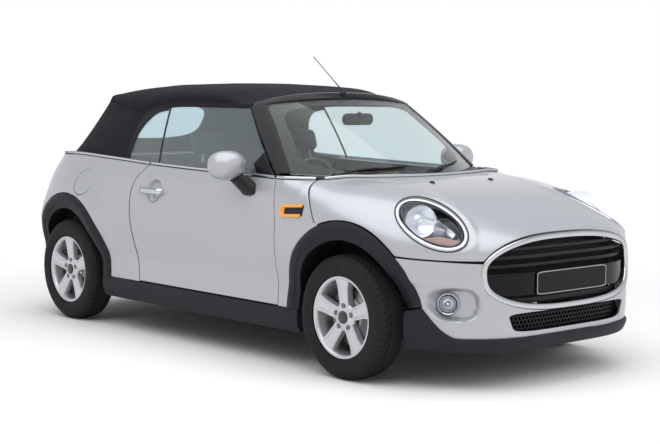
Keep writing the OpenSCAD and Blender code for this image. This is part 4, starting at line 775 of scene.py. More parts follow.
def plate(x0, x1, zc, half=260.0, tall=55.5):
    """Rounded board in front view with its rim line: outline a super-ellipse of power 14."""
    lx, ly = lame(np.arange(96) * 3.75 + 0.3, 14)
    board = prism(*(stack(x, half * lx, zc + tall * ly) for x in (x0, x1)))
    out = np.sign(x1 - x0)
    loop = [stack(x1 + out * d, (half - o) * lx, zc + (tall - o) * ly)
            for d, o in ((0, 1), (1.4, 2), (1.4, 5), (0, 6))]
    return board, grid(np.stack(loop, 1), True, True)


board, rim = plate(1884, 1892, 497)
piece("plate_front", board, plate_dark, "black_plastic")
piece("plate_front_edge", rim, plate_pale, "black_plastic", turn=True)


# Lower intake: a black honeycomb guard across the trapezoid opening, clipped behind the bumper.
INTAKE_Z = 321.0


def honeycomb(half, z0, z1, pitch=23.0, bar=3.2):
    """Hexagon frames in staggered rows: each cell a ring of six quads, laid on the nose curve."""
    rows = np.arange(int((z1 - z0) / (pitch * 0.866)) + 1)
    cols = np.arange(-int(half / pitch), int(half / pitch) + 1)
    cy = (cols[None, :] + 0.5 * (rows[:, None] % 2)) * pitch
    cz = z0 + rows[:, None] * pitch * 0.866 + 0 * cols[None, :]
    a = np.radians(30 + 60 * np.arange(6))
    loops = [stack(d, cy.reshape(-1, 1) + r * np.cos(a), cz.reshape(-1, 1) + r * np.sin(a))
             for d, r in ((0, pitch * 0.577), (0, pitch * 0.577 - bar), (-14, pitch * 0.577 - bar))]
    points = np.stack(loops, 2)
    points[..., 0] += skin_x(points[..., 1], INTAKE_Z) - 34
    cell = np.array(lattice(6, 3, True))
    faces = (cell[None] + 18 * np.arange(cy.size)[:, None, None]).reshape(-1, 4)
    return points.reshape(-1, 3), faces.tolist()


piece("intake_mesh", honeycomb(405, 276, 372), satin_black, "black_plastic", turn=True)
zz = np.linspace(262, 382, 9)[None, :]
yy = np.linspace(-425, 425, 41)[:, None]
piece("intake_backing", grid(stack(skin_x(yy, INTAKE_Z + 0 * zz) - 62, yy, zz)), sealer, "black_plastic")

# Fog lamps: round chromed cups with a fluted clear lens, bolted behind the bumper dishes.
lens_clear = finish("lens_clear", (0.93, 0.95, 0.97), 0.04, vary=0.02, scale=20, depth=0.0,
                    Transmission_Weight=1.0, IOR=1.12)
cup_chrome = finish("cup_chrome", (0.72, 0.73, 0.75), 0.16, metallic=1.0, vary=0.08, scale=60, grain=240,
                    depth=0.15)
fog_ring = [[FOG_R, -60], [FOG_R, -2], [49, 3], [45, 2], [43, -4], [43, -60]]
fog_cup = [[43, -6], [40, -18], [30, -34], [14, -42], [0.5, -44]]
fog_lens = [[0.5, 8], [12, 7.6], [24, 6], [34, 3], [43, -2], [43, -5], [34, 0], [24, 3], [12, 4.6], [0.5, 5]]
fog_bulb = [[0.5, -14], [5, -16], [8, -22], [8, -40], [0.5, -40]]


def mirrored(points, faces):
    """The same shape on the other side of the car."""
    return points * FLIP, [face[::-1] for face in faces]


def both(*parts):
    """The parts as one shape, and the same on the other side of the car."""
    one = join(*parts)
    return join(one, mirrored(*one))


for label, profile, loop, look, slot, swaps in (
        ("ring", fog_ring, True, chrome, "chrome_trim", ("fog_lamps",)),
        ("cup", fog_cup, False, cup_chrome, "chrome_trim", ()),
        ("lens", fog_lens, True, lens_clear, "lamp_lens", ()),
        ("bulb", fog_bulb, True, chrome, "chrome_trim", ())):
    lamp = set_on(revolve(profile, 64, loop), FOG_C, FOG_AXIS, FLIP)
    piece("fog_" + label, both(lamp), look, slot, swaps, turn=True)

# Bonnet: one painted pressing that wraps over the nose and down to the wheel arches, hinged at the scuttle.
# It has two oval openings for the headlamps, a soft raised lip round each, and two washer jets.
LAMP_C = np.array([1550.0, 620, 775])
LAMP_R1, LAMP_R2 = 190.0, 110.0
lamp_az, lamp_el, lamp_roll = np.radians((45.6, 5.2, 28.5))
LAMP_A = np.array([np.cos(lamp_el) * np.cos(lamp_az), np.cos(lamp_el) * np.sin(lamp_az), np.sin(lamp_el)])
lamp_h = np.array([-np.sin(lamp_az), np.cos(lamp_az), 0])
lamp_v = np.cross(LAMP_A, lamp_h)
LAMP_E1 = lamp_h * np.cos(lamp_roll) + lamp_v * np.sin(lamp_roll)
LAMP_E2 = lamp_v * np.cos(lamp_roll) - lamp_h * np.sin(lamp_roll)
SEAM_LOW, SEAM_HIGH = (985.0, 743.0), (805.0, 946.0)
RING_CLEAR = RING_HW + RING_R + SHUT
NOSE_EDGE_Z, ARCH_EDGE_Z, RING_SHARE, ARCH_SHARE = WAIST_Z + 14, 628.0, 0.3, 0.6
BONNET_REAR_Y = 700


def bonnet_point(b, d):
    """Bonnet skin by plan angle and plan radius, with the wheel swelling added towards the sides."""
    lx, ly = lame(b, NOSE_POWER)
    x, y = MID_X + BONNET_L * d * lx, BONNET_W * d * ly
    z = bonnet_height(x, d)
    return stack(x, y + np.sign(y) * flare(x, z) * np.minimum(1, np.abs(y) / BONNET_W) ** 2, z)


def side_polar(x, z):
    """Plan angle and radius of a point of the bonnet's side."""
    p = curve(bonnet_power, x - FRONT_X)
    rise = np.clip((z - WAIST_Z) / (crown_z(x) - WAIST_Z), 0, 1)
    d = np.maximum(0, 1 - rise ** p) ** (1 / p)
    t = (x - MID_X) / BONNET_L
    s = np.maximum(0, d ** NOSE_POWER - t ** NOSE_POWER) ** (1 / NOSE_POWER)
    return np.stack([np.degrees(np.arctan2(s, t)), d], -1)


def skin_polar(y, z):
    """Plan angle and radius of a point of the nose skin, its swelling taken off."""
    x = skin_x(y, z)
    return np.stack(plan_polar(x, np.maximum(0, y - flare(x, z) * (y / BONNET_W) ** 2)), -1)


def bonnet_low(u):
    """Lower edge of the bonnet: over the grille ring, along the bumper, then round the arch."""
    a = np.abs(u)
    y = RING_CLEAR * np.sin(np.radians(90 * np.minimum(a / RING_SHARE, 1)))
    l = np.maximum(0, 1 - (y / RING_CLEAR) ** RING_POWER) ** (1 / RING_POWER)
    front = skin_polar(y, np.maximum(NOSE_EDGE_Z, RING_Z + (RING_UP + RING_R + SHUT) * l))
    rx, rz = ARCH_FRONT + SHUT, ARCH_RZ + SHUT
    end = side_polar(FRONT_AXLE + arch_dx(ARCH_EDGE_Z, rx, rz), np.float64(ARCH_EDGE_Z))
    start = skin_polar(np.float64(RING_CLEAR), np.float64(NOSE_EDGE_Z))
    middle = mix(start, end, np.clip((a - RING_SHARE) / (ARCH_SHARE - RING_SHARE), 0, 1)[:, None])
    a0 = np.arcsin((ARCH_EDGE_Z - AXLE_Z) / rz)
    a1 = np.pi - np.arcsin((SEAM_LOW[1] - AXLE_Z) / rz)
    t = mix(a0, a1, np.clip((a - ARCH_SHARE) / (1 - ARCH_SHARE), 0, 1))
    arch = side_polar(FRONT_AXLE + rx * np.cos(t), AXLE_Z + rz * np.sin(t))
    return np.where((a < RING_SHARE)[:, None], front, np.where((a < ARCH_SHARE)[:, None], middle, arch))


def bonnet_rear_x(y):
    """Station of the bonnet's rear edge: a parabola of the width."""
    return mix(925, SEAM_HIGH[0] + 2, (y / BONNET_REAR_Y) ** 2)


def bonnet_net(nu, nv):
    """Grid from the lower edge to the scuttle edge, pulled onto the wing seam at both sides."""
    u = np.linspace(-1, 1, nu)
    v = np.linspace(0, 1, nv) ** 1.25
    low = bonnet_low(u)
    y = np.abs(u) * BONNET_REAR_Y
    rear = np.stack(plan_polar(bonnet_rear_x(y), y), -1)
    seam = side_polar(mix(SEAM_LOW[0], SEAM_HIGH[0], v), mix(SEAM_LOW[1], SEAM_HIGH[1] - 3, v))
    fix = seam - mix(low[-1], rear[-1], v[:, None])
    q = mix(low[:, None], rear[:, None], v[None, :, None]) + fix[None] * (np.abs(u) ** 4)[:, None, None]
    return bonnet_point(np.where(u < 0, -1, 1)[:, None] * q[..., 0], q[..., 1])


def lamp_coords(points):
    """Place of a point across the lamp opening, as shares of the two half axes."""
    d = points * np.where(points[..., 1:2] < 0, FLIP, 1) - LAMP_C
    return d @ LAMP_E1 / LAMP_R1, d @ LAMP_E2 / LAMP_R2


def lamp_oval(r1, r2, a):
    """Points of an oval about the lamp's axis, by its half axes and an angle."""
    return LAMP_C + (r1 * np.cos(a))[:, None] * LAMP_E1 + (r2 * np.sin(a))[:, None] * LAMP_E2


bonnet = bonnet_net(241, 90)
e1, e2 = lamp_coords(bonnet)
x, y = bonnet[..., 0], np.abs(bonnet[..., 1])
lip = np.exp(-((np.hypot(e1, e2) - 1.13) / 0.12) ** 2) * smooth((0.5 - e1 + 0.4 * e2) / 0.9)
fold = np.exp(-((y - 430 - 0.12 * (1500 - x)) / 55) ** 2) * smooth((1560 - x) / 300)
bonnet = bonnet + normals(bonnet) * (7 * lip + 2.5 * fold)[..., None]
bonnet_skin = piece("bonnet_skin", grid(bonnet), paint, "body_paint", ("bonnet",), "bonnet", wall=9)
oval = lamp_oval(LAMP_R1, LAMP_R2, np.radians(np.arange(96) * 3.75))
hole = prism(oval - 400 * LAMP_A, oval + 300 * LAMP_A)
trim_edges(cut(bonnet_skin, hole, mirrored(*hole)), 2)
JET_X = 1158.0
jet, jet_faces = revolve([[0.5, 9], [6, 8], [9, 4], [11, -1], [0.5, -1]], 20)
jets = []
for jet_y in (-218, 218):
    jet_z = float(bonnet_height(JET_X, plan_polar(JET_X, jet_y)[1]))
    jets.append((jet * [1.9, 1, 1] + [JET_X, jet_y, jet_z], jet_faces))
piece("washer_jets", join(*jets), satin_black, "black_plastic", body="bonnet")

# Headlamps: a broad chromed oval ring set in the bonnet, a thin black seal inside it, and behind, fixed to
# the front panel, a pod with a round main reflector, a second one beside it, a dark liner and a clear cover.
ROUND_A = np.radians(np.arange(120) * 3)
POD_R1, POD_R2, POD_BACK = 159, 79, 20
LAMP_FACE = np.array([0.86, 0.5, 0.06])


def on_skin(points, k):
    """Points moved along the lamp's axis to k above the bonnet skin."""
    return points + LAMP_A * (skin_reach(points, LAMP_A) + k)[:, None]


def pod_oval(share, a=ROUND_A):
    """Points of the lamp pod's outline, shrunk to a share of it."""
    return lamp_oval(POD_R1 * share, POD_R2 * share, a)


def lamp_tube(profile):
    """Rings round both lamp openings: columns growth of the opening, height above the bonnet skin."""
    loops = [on_skin(lamp_oval(LAMP_R1 + off, LAMP_R2 + off, ROUND_A), k) for off, k in profile]
    return both(grid(np.stack(loops, 1), True, True))


def bowl(name, e1, e2, depth, r):
    """Round reflector: a parabola turned about its axis, with a bulb shield in the middle."""
    s = np.linspace(1, 0.02, 12)
    dish = np.concatenate([[[r * 1.05, -3], [r * 1.05, 2]], np.stack([r * s, -0.62 * r * (1 - s ** 2)], -1)])
    shield = [[0.5, -0.1 * r], [0.1 * r, -0.12 * r], [0.16 * r, -0.2 * r], [0.16 * r, -0.6 * r]]
    at = LAMP_C + e1 * LAMP_E1 + e2 * LAMP_E2 - depth * LAMP_A
    parts = [set_on(revolve(profile, n, False), at, LAMP_FACE) for profile, n in ((dish, 72), (shield, 40))]
    piece(name, both(*parts), reflector, "chrome_trim", turn=True)


surround = lamp_tube([(-4, -9), (-4, 4), (-5.5, 10), (-8, 14.5), (-14, 17), (-20, 14), (-24.5, 6), (-26, -3),
                      (-26, -10)])
piece("lamp_surround", surround, chrome, "chrome_trim", ("headlamp_rings",), "bonnet", sharp=50)
seal = lamp_tube([(-26.3, -10), (-26.3, -4), (-29, -3), (-31, -6), (-31, -10)])
piece("lamp_seal", seal, satin_black, "black_plastic", body="bonnet")
cover_rows = ((1.0, 20), (0.97, 17), (0.85, 15), (0.65, 13.5), (0.4, 12.5), (0.2, 12.2), (0.01, 12))
cover = np.stack([on_skin(pod_oval(share), -depth) for share, depth in cover_rows], 1)
piece("lamp_cover", both(grid(cover, True)), lens_clear, "lamp_lens", ("headlamps",), wall=2.5)
pod_plastic = finish("pod_silver", (0.74, 0.77, 0.82), 0.3, metallic=0.35, vary=0.1)
pod_rows = ((0.99, 20), (0.96, 60), (0.9, 95), (0.6, 110), (0.3, 112), (0.01, 112))
pod = [on_skin(pod_oval(1.0), -POD_BACK)]
pod += [pod_oval(share) - LAMP_A * (depth + POD_BACK) for share, depth in pod_rows]
piece("lamp_pod", both(grid(np.stack(pod, 1), True)), pod_plastic, "chrome_trim")
reflector = finish("reflector", (0.92, 0.93, 0.96), 0.2, metallic=0.8, vary=0.05, scale=55, grain=120,
                   depth=0.35)
bowl("lamp_main", 48, -14, 46, 72)
bowl("lamp_second", -70, 4, 40, 52)
amber_soft = finish("amber_soft", (0.4, 0.24, 0.22), 0.25, vary=0.12, scale=40, grain=160, depth=0.4)
swell = np.sin(np.linspace(0, np.pi, 40)) ** 0.8
for label, a0, a1, rows, look, slot in (
        ("indicator", -0.97, -0.5, ((0.97, 24), (0.8, 26), (0.6, 30)), amber_soft, "amber_lens"),
        ("liner", 0.34, 0.99, ((0.975, 22), (0.75, 24), (0.42, 28)), satin_black, "black_plastic")):
    sweep = np.linspace(np.pi * a0, np.pi * a1, 40)
    bands = [on_skin(pod_oval(mix(0.975, share, swell), sweep), -depth) for share, depth in rows]
    piece("lamp_" + label, both(grid(np.stack(bands, 1))), look, slot, wall=1.5)

# Front wings: painted pressings between door, wheel arch and bonnet seam, bolted to the inner structure.
SILL_TOP = 303.0
door_front_table = [[290, 648], [640, 637], [800, 612], [940, 572]]
door_rear_table = [[290, -590], [500, -650], [680, -684], [810, -688], [900, -650], [980, -560]]


def wing_front(z):
    """Front edge of the wing: along the arch, then along the bonnet seam."""
    arch = FRONT_AXLE - arch_dx(z, ARCH_FRONT + ARCH_SEAM, ARCH_RZ + ARCH_SEAM)
    seam = mix(SEAM_LOW[0], SEAM_HIGH[0], (z - SEAM_LOW[1]) / (SEAM_HIGH[1] - SEAM_LOW[1])) - 2.4 * SHUT
    return np.where(z < SEAM_LOW[1], arch, seam)


def wing_y(x, z):
    """Half width of the wing: the body side, blended into the bonnet's side ahead of the door."""
    low = side_y(x, z)
    q = side_polar(x, np.maximum(z, WAIST_Z + 1))
    high = bonnet_point(q[..., 0], q[..., 1])[..., 1]
    return mix(low, np.where(z > WAIST_Z, high, low), np.clip((x - 640) / 160, 0, 1))


z = np.linspace(SILL_TOP, SEAM_HIGH[1], 61)[None, :]
x = mix(wing_front(z), curve(door_front_table, z) + SHUT - 2, np.linspace(0, 1, 31)[:, None])
wings = both(grid(stack(x, wing_y(x, z), z)))
piece("wing_skins", wings, paint, "body_paint", ("front_wings",), wall=9, bevel=2)

# Side repeaters: a dark ribbed panel in the wing with an amber lens bent round it like a lying U, clipped in.
amber = finish("amber_lens", (0.92, 0.36, 0.02), 0.15, vary=0.08, scale=60, grain=300, depth=0.2,
               Coat_Weight=0.6)


def on_wing(x, z, out):
    """Points on the right wing, lifted out of the skin."""
    return stack(x, wing_y(x, z) + out, z) * FLIP


def unit(vectors):
    """Vectors brought to length one."""
    return vectors / np.linalg.norm(vectors, axis=-1, keepdims=True)


def ribbon(path, outline, n, lift):
    """A rounded section of sideways and outward offsets carried along a path on the wing."""
    p = np.asarray(path, float)
    d = unit(np.gradient(p, axis=0))
    s = round_loop(outline, n)
    x = p[:, None, 0] - d[:, None, 1] * s[None, :, 0]
    z = p[:, None, 1] + d[:, None, 0] * s[None, :, 0]
    return tube(on_wing(x, z, lift + s[None, :, 1]))


def u_path(r, x_end):
    """A lying U: a half circle of radius r at the rear and two arms to x_end, rising slightly forwards."""
    turn_a = np.radians(np.linspace(-90, 90, 24))
    arm = np.linspace(x_end, 708, 12)
    x = np.concatenate([arm, 704 - r * 1.25 * np.cos(turn_a), np.linspace(708, x_end, 12)])
    z = np.concatenate([np.full(12, -r), r * np.sin(turn_a), np.full(12, r)])
    return np.stack([x, 796 + z + 0.06 * (x - 770)], -1)


def bar_path(x0, x1, z0, z1):
    """A straight path of station and height."""
    return np.stack([np.linspace(x0, x1, 12), np.linspace(z0, z1, 12)], -1)


soft_bar = [[-9, -2], [-9, 8], [8, 8], [8, -2]]
lens = [ribbon(u_path(25, 852), soft_bar, 3, 2), ribbon(u_path(10, 710), soft_bar, 3, 1)]
piece("repeater_lens", both(*lens), amber, "amber_lens", ("side_indicators",))
rib, backing = [[-4.5, -2], [-4.5, 5], [4.5, 5], [4.5, -2]], [[-24, -2], [-24, 2], [24, 2], [24, -2]]
ribs = [ribbon(bar_path(716, 856, 784, 792) + [0, k * 12], rib, 2, 1) for k in (-0.2, 0.8, 1.8)]
ribs = [ribbon(bar_path(706, 860, 793, 802), backing, 1, 1)] + ribs
piece("repeater_ribs", both(*ribs), satin_black, "black_plastic")

# Windscreen: laminated glass with a black printed border, bonded into a gloss-black frame of two pillars and
# a header.
SCREEN_FOOT_Y, SCREEN_HEAD_Y, RAIL_Z, RAIL_Y, CAR_HEIGHT = 680.0, 520.0, 1322.0, 585.0, 1438.0
SCREEN_LOW, SCREEN_TOP = 0.03, 0.985
PILLAR_FOOT, PILLAR_HEAD = np.array([548.0, 738, 966]), np.array([140.0, RAIL_Y, 1316])
roof_table = [[-1400, 74], [-1250, 36], [-1000, 10], [-700, 0], [-450, 0], [-150, 12], [100, 38], [280, 68]]
SCREEN_N = np.array([0.72, 0, 0.69])
# The glass tints are their own, but the share each glass does not let through (0.06 at the sides, 0.02 in the
# screen)
# is diffuse pale colour: a painted haze that stands for reflected sky.
glass = finish("side_glass_painted_haze", (0.78, 0.9, 0.94), 0.02, vary=0.02, scale=2, depth=0.0, Transmission_Weight=0.94,
               IOR=1.45)
screen_glass_painted_haze = finish("screen_glass_painted_haze", (0.9, 0.945, 0.93), 0.02, vary=0.02, scale=2, depth=0.0,
                      Transmission_Weight=0.98, IOR=1.2)


def screen_point(s, v):
    """Windscreen: ruled from a bowed foot to a bowed head, and bowed out between them."""
    foot = stack(mix(850, 604, s * s), s * SCREEN_FOOT_Y, mix(928, 955, s * s))
    head = stack(mix(262, 204, s * s), s * SCREEN_HEAD_Y, mix(1350, 1323, s * s))
    v = np.asarray(v, float)[..., None]
    bow = 22 * 4 * v * (1 - v) * (1 - 0.5 * (np.asarray(s, float) ** 2)[..., None])
    return mix(foot, head, v) + SCREEN_N * bow


s = np.linspace(-1, 1, 65)[:, None] + np.zeros((1, 41))
v = np.linspace(SCREEN_LOW, SCREEN_TOP, 41)[None, :] + np.zeros((65, 1))
piece("windscreen_glass", grid(screen_point(s, v)), screen_glass_painted_haze, "clear_glass", ("windscreen",), wall=5)


def roof_drop(x):
    """Fall of the roof's centre line below its highest point."""
    return curve(roof_table, x)


def frame_sides(k):
    """Inner and outer line of the frame: k to 1 up the right pillar, to 2 across, to 3 down the left one."""
    over = np.clip(k - 1, 0, 1)
    up = np.where(k <= 1, k, np.where(k >= 2, 3 - k, 1))
    s = np.where(k <= 1, -1.0, np.where(k >= 2, 1.0, mix(-1, 1, over))) * 1.0008
    inner = screen_point(s, mix(SCREEN_LOW, SCREEN_TOP, up))
    pillar = mix(PILLAR_FOOT, PILLAR_HEAD, up[:, None]) + np.array([0, 10, 4]) * (4 * up * (1 - up))[:, None]
    pillar = pillar * np.where(k < 1.5, -1, 1)[:, None] ** np.array([0, 1, 0])
    t = mix(-1, 1, over)
    header = stack(mix(205 + SEAM, PILLAR_HEAD[0], t * t), t * RAIL_Y,
                   mix(CAR_HEIGHT - roof_drop(205), PILLAR_HEAD[2], np.abs(t) ** 2.8))
    return inner, np.where(((k > 1) & (k < 2))[:, None], header, pillar)


k = np.linspace(0, 3, 181)
inner, outer = frame_sides(k)
w = np.linspace(0, 1, 17)
swell = np.interp(w, [0, 0.12, 0.33, 0.6, 0.8, 1], [0, 9, 13, 16, 11, 0])
lean = np.where((k <= 1)[:, None], [0.5, -0.6, 0.3],
                np.where((k >= 2)[:, None], [0.5, 0.6, 0.3], [0.3, 0, 0.9]))
net = mix(inner[:, None], outer[:, None], w[None, :, None]) + lean[:, None] * swell[None, :, None]
piece("screen_frame", grid(net), gloss_black, "black_plastic", ("windscreen_frame",), wall=34, bevel=2)
frit = []
for half_s, half_v, power in ((0.998, 0.478, 16), (0.95, 0.447, 10), (0.89, 0.41, 6)):
    lx, ly = lame(np.arange(160) * 2.25, power)
    frit.append(screen_point(half_s * lx, 0.508 + half_v * ly) - SCREEN_N * 9)
piece("screen_border", grid(np.stack(frit, 1), True), gloss_black, "black_plastic", wall=1)

# Scuttle: black moulded panel with air slots between bonnet and glass; the wiper spindles come through it.
y = np.linspace(-640, 640, 97)[:, None]
v = np.linspace(1, 0, 25)[None, :]
f = screen_point((y / SCREEN_FOOT_Y)[:, 0], np.full(97, SCREEN_LOW))
x = mix(f[:, None, 0] + SEAM, bonnet_rear_x(y) - 2 * SHUT, v)
zz = f[:, None, 2] - mix(1, 16, v) - 2.5 * (np.sin(y / 9) > 0.2) * (v > 0.25) * (v < 0.8)
piece("scuttle_panel", grid(stack(x, y, zz)), satin_black, "black_plastic", ("scuttle",), wall=6)


# Wipers: a rubber blade on a pressed black arm for each half of the screen, on splined spindles in
# the scuttle.
def rod(path, rx, rz):
    """An oval section carried along a path, its long way upright to the path and to the screen."""
    d = unit(np.gradient(path, axis=0))
    side = unit(np.cross(d, SCREEN_N))
    lift = np.cross(side, d)
    q = np.radians(np.arange(12) * 30)[None, :, None]
    return tube(path[:, None] + side[:, None] * (rx * np.cos(q)) + lift[:, None] * (rz * np.sin(q)))


def off_screen(y, v, out):
    """Points out of the screen at a width at its foot and a share of its height."""
    return screen_point(np.asarray(y, float) / SCREEN_FOOT_Y, np.asarray(v, float)) + SCREEN_N * out


parts = []
t = np.linspace(0, 1, 30)
for inner_y, outer_y in ((-430, -40), (110, 480)):
    parts.append(rod(off_screen(mix(inner_y, outer_y, t), mix(0.07, 0.13, t), 8), 4, 7.5))
    root = off_screen(inner_y - 60, 0.02, 6)
    middle = off_screen(mix(inner_y, outer_y, 0.5), 0.1, 20)
    arm = mix(root, middle, t[:, None]) + SCREEN_N * (14 * np.sin(np.pi * t))[:, None]
    parts.append(rod(arm, 7, 4))
    parts.append(set_on(revolve([[0.5, 14], [12, 12], [15, 4], [15, -6], [0.5, -6]], 24), root, SCREEN_N))
piece("wiper_set", join(*parts), satin_black, "black_plastic", ("wipers",))

# Aerial: a thin sprung mast screwed into a small black foot on the header.
header_in, header_out = frame_sides(np.array([1.5]))
foot = mix(header_in[0], header_out[0], 0.5) + np.array([0.3, 0, 0.9]) * 14.5
lean = np.array([-np.sin(np.radians(52)), 0, np.cos(np.radians(52))])
mast = revolve([[0.5, 331], [2.6, 330], [2.6, 300], [2.2, 296], [2.4, 120], [3.4, 60], [3.6, 16],
                [0.5, 14]], 14)
base = revolve([[0.5, 22], [9, 19], [16, 10], [22, 1], [22, -2], [0.5, -2]], 32)
mast_parts = set_on(mast, foot + [5, 0, 8], lean), set_on(base, foot, [0.62, 0, 0.79])
piece("aerial", join(*mast_parts), satin_black, "black_plastic", ("antenna",))

# Cabin: moulded soft-grain dashboard with a column, a leather-rimmed steering wheel on its splined shaft,
# and a mirror glued to the screen; steel pads and trim colours stay dark.
cabin_grain = finish("cabin_grain", (0.03, 0.031, 0.034), 0.6, vary=0.15, grain=420, depth=0.35)
leather = finish("wheel_leather", (0.02, 0.02, 0.021), 0.42, vary=0.2, grain=650, depth=0.4)
dress(cabin_grain, "dashboard")
dress(leather, "steering_wheel")
dress(satin_black, "interior_mirror")
vent = revolve([[52, -8], [52, 6], [46, 9], [40, 6], [40, -8]], 48)
vents = [set_on(vent, (356, vent_y, 812), (-0.85, 0, 0.5)) for vent_y in (-560, -180, 0, 180, 560)]
piece("dash_rings", join(*vents), chrome, "chrome_trim")

# Seats: foam pads under woven cloth with sewn channels, on steel frames and runners bolted to the floor.
# The covers are drawn tight, so each pad is blown up a little as cloth under pressure.
weave, weave_in, weave_out = socketed("weave", ("Mask", "Height"), Threads=400.0)
weave_place = node(weave, "TexCoord").outputs["Object"]
weave_cross = node(weave, "Math", operation="MULTIPLY")
for k, direction in enumerate(("X", "Y")):
    wave = node(weave, "TexWave", Distortion=0.6)
    wave.bands_direction = direction
    wire(weave, (weave_place, wave.inputs["Vector"]), (weave_in.outputs["Threads"], wave.inputs["Scale"]),
         (wave.outputs["Fac"], weave_cross.inputs[k]))
weave_noise = node(weave, "TexNoise", Scale=16, Detail=6)
wire(weave, (weave_place, weave_noise.inputs["Vector"]), (weave_cross.outputs[0], weave_out.inputs["Height"]),
     (weave_noise.outputs[0], weave_out.inputs["Mask"]))


def cloth_look(name, colour, roughness, threads, vary, depth, sheen):
    """Woven finish: crossed bands lift the threads, slow noise fades the colour, and the shader adds sheen."""
    look = finish(name, colour, roughness, vary=vary, depth=depth)
    tree = look.node_tree
    threads_node = node(tree, "Group", weave, Threads=threads)
    lift = next(n for n in tree.nodes if n.type == "BUMP")
    tree.links.new(threads_node.outputs["Height"], lift.inputs["Height"])
    tint = next(n for n in tree.nodes if n.type == "MIX")
    tree.links.new(threads_node.outputs["Mask"], tint.inputs[0])
    tree.nodes["Principled BSDF"].inputs["Sheen Weight"].default_value = sheen
    return look


seat_cloth = cloth_look("seat_cloth", (0.035, 0.036, 0.04), 0.85, 520, 0.25, 0.5, 0.25)


def ball(net):
    """A net closed round its first direction, with a cap at each pole."""
    nu, nv = net.shape[:2]
    poles = [[i * nv for i in range(nu)][::-1], [i * nv + nv - 1 for i in range(nu)]]
    return net.reshape(-1, 3), lattice(nu, nv, True) + poles


def soft_block(size, power=5.0, nu=40, nv=24):
    """Rounded block: a super-ellipsoid of half sizes size, from pole to pole along its height."""
    ax, ay = lame(np.arange(nu)[:, None] * 360 / nu, power)
    bx, bz = lame(np.linspace(-89, 89, nv), power)
    return ball(stack(size[0] * ax * bx, size[1] * ay * bx, size[2] * bz))


def coords(thing):
    """Places of an object's points, in metres."""
    flat = np.zeros(len(thing.data.vertices) * 3)
    thing.data.vertices.foreach_get("co", flat)
    return flat.reshape(-1, 3)


def blown(name, size, cap):
    """A block remeshed at 14 mm, blown up as cloth for 20 steps with no point moving more than cap,
    then subdivided."""
    thing = bpy.data.objects.new(name, mesh_of(name, *soft_block(np.asarray(size) - 5)))
    scene.collection.objects.link(thing)
    remesh = thing.modifiers.new("grid", "REMESH")
    remesh.mode = "VOXEL"
    remesh.voxel_size = 14 * MM
    settle(thing)
    rest = coords(thing)
    cover = thing.modifiers.new("cover", "CLOTH")
    cover.settings.quality = 4
    cover.settings.tension_stiffness = 12
    cover.settings.bending_stiffness = 0.6
    cover.settings.use_pressure = True
    cover.settings.uniform_pressure_force = 4
    cover.settings.effector_weights.gravity = 0
    for step in range(1, 21):
        scene.frame_set(step)
    settle(thing)
    shift = coords(thing) - rest
    length = np.maximum(np.linalg.norm(shift, axis=1, keepdims=True), 1e-9)
    thing.data.vertices.foreach_set("co", (rest + shift * np.minimum(1, cap * MM / length)).ravel())
    scene.frame_set(1)
    fine = thing.modifiers.new("fine", "SUBSURF")
    fine.levels = fine.render_levels = 1
    settle(thing)
    shape = coords(thing) * 1000, [list(f.vertices) for f in thing.data.polygons]
    bpy.data.objects.remove(thing)
    return shape


def channels(points, axis, places, side, depth=7.0, width=9.0):
    """Sewn channels pressed into the pad's front face where a coordinate meets one of the places."""
    front = smooth((points[:, side[0]] * side[1] - 10) / 40)
    press = sum(np.exp(-((points[:, axis] - p) / width) ** 2) for p in places)
    out = points.copy()
    out[:, side[0]] -= side[1] * depth * np.minimum(press, 1) * front
    return out


def turned(points, angle, at):
    """Points turned about the cross-car axis and moved to at."""
    c, s = np.cos(np.radians(angle)), np.sin(np.radians(angle))
    x, y, z = points.T
    return np.stack([x * c + z * s, y, -x * s + z * c], -1) + at


SEAT_LEAN, SEAT_Y, PAD_FILL = -18, 360, 0.8


def on_back(points, shift):
    """Pad points set on the leaning seat back, and moved along it by shift."""
    return turned(points, SEAT_LEAN, [-300, SEAT_Y, 390]) + turned(np.array([shift]), SEAT_LEAN, [0, 0, 0])


cushion, cushion_faces = blown("cushion", (255, 236, 78), 9)
cushion = channels(cushion, 1, (-130, 130), (2, 1)) + [-70, SEAT_Y, 402]
back_pad, back_faces = blown("back_pad", (58, 232, 316), 9)
back_pad = channels(channels(back_pad, 1, (-120, 120), (0, 1)), 2, (-120, 40, 180), (0, 1), 4)
back_pad = on_back(back_pad, [-20.0, 0, 320])
head_pad, head_faces = blown("head_pad", (43, 112, 74), 6)
head_pad = on_back(head_pad, [-17.0, 0, 742])
seat_pads = (("cushion", cushion, cushion_faces), ("back", back_pad, back_faces),
             ("headrest", head_pad, head_faces))
for tag, flip in (("right", -1), ("left", 1)):
    for label, points, faces in seat_pads:
        thing = piece(f"seat_{label}_{tag}", (points * [1, flip, 1], faces), seat_cloth, "seat_cloth",
                      ("front_seats",), sharp=80, turn=flip < 0)
bench, bench_faces = blown("bench", (183, 560, 118), 9)
bench = channels(bench, 1, (-280, 0, 280), (2, 1)) + [-822, 0, 366]
squab, squab_faces = blown("squab", (60, 560, 226), 9)
squab = channels(squab, 1, (-280, 0, 280), (0, 1)) + [-945, 0, 700]
for label, points, faces in (("bench", bench, bench_faces), ("squab", squab, squab_faces)):
    thing = piece("rear_" + label, (points, faces), seat_cloth, "seat_cloth", ("rear_seat",), sharp=80)
rails = [along_x(round_loop([[y0, 231], [y0 + 30, 231], [y0 + 30, 325], [y0, 325]], 2), -300, 150)
         for y0 in (170, 520)]
post, post_faces = drum(7, 0, 95, 16)
posts = [(turned(post + [-18, 0, 600], SEAT_LEAN, [-300, post_y, 390]), post_faces) for post_y in (310, 410)]
piece("seat_runners", both(*rails, *posts), disc_steel, "steel_under")

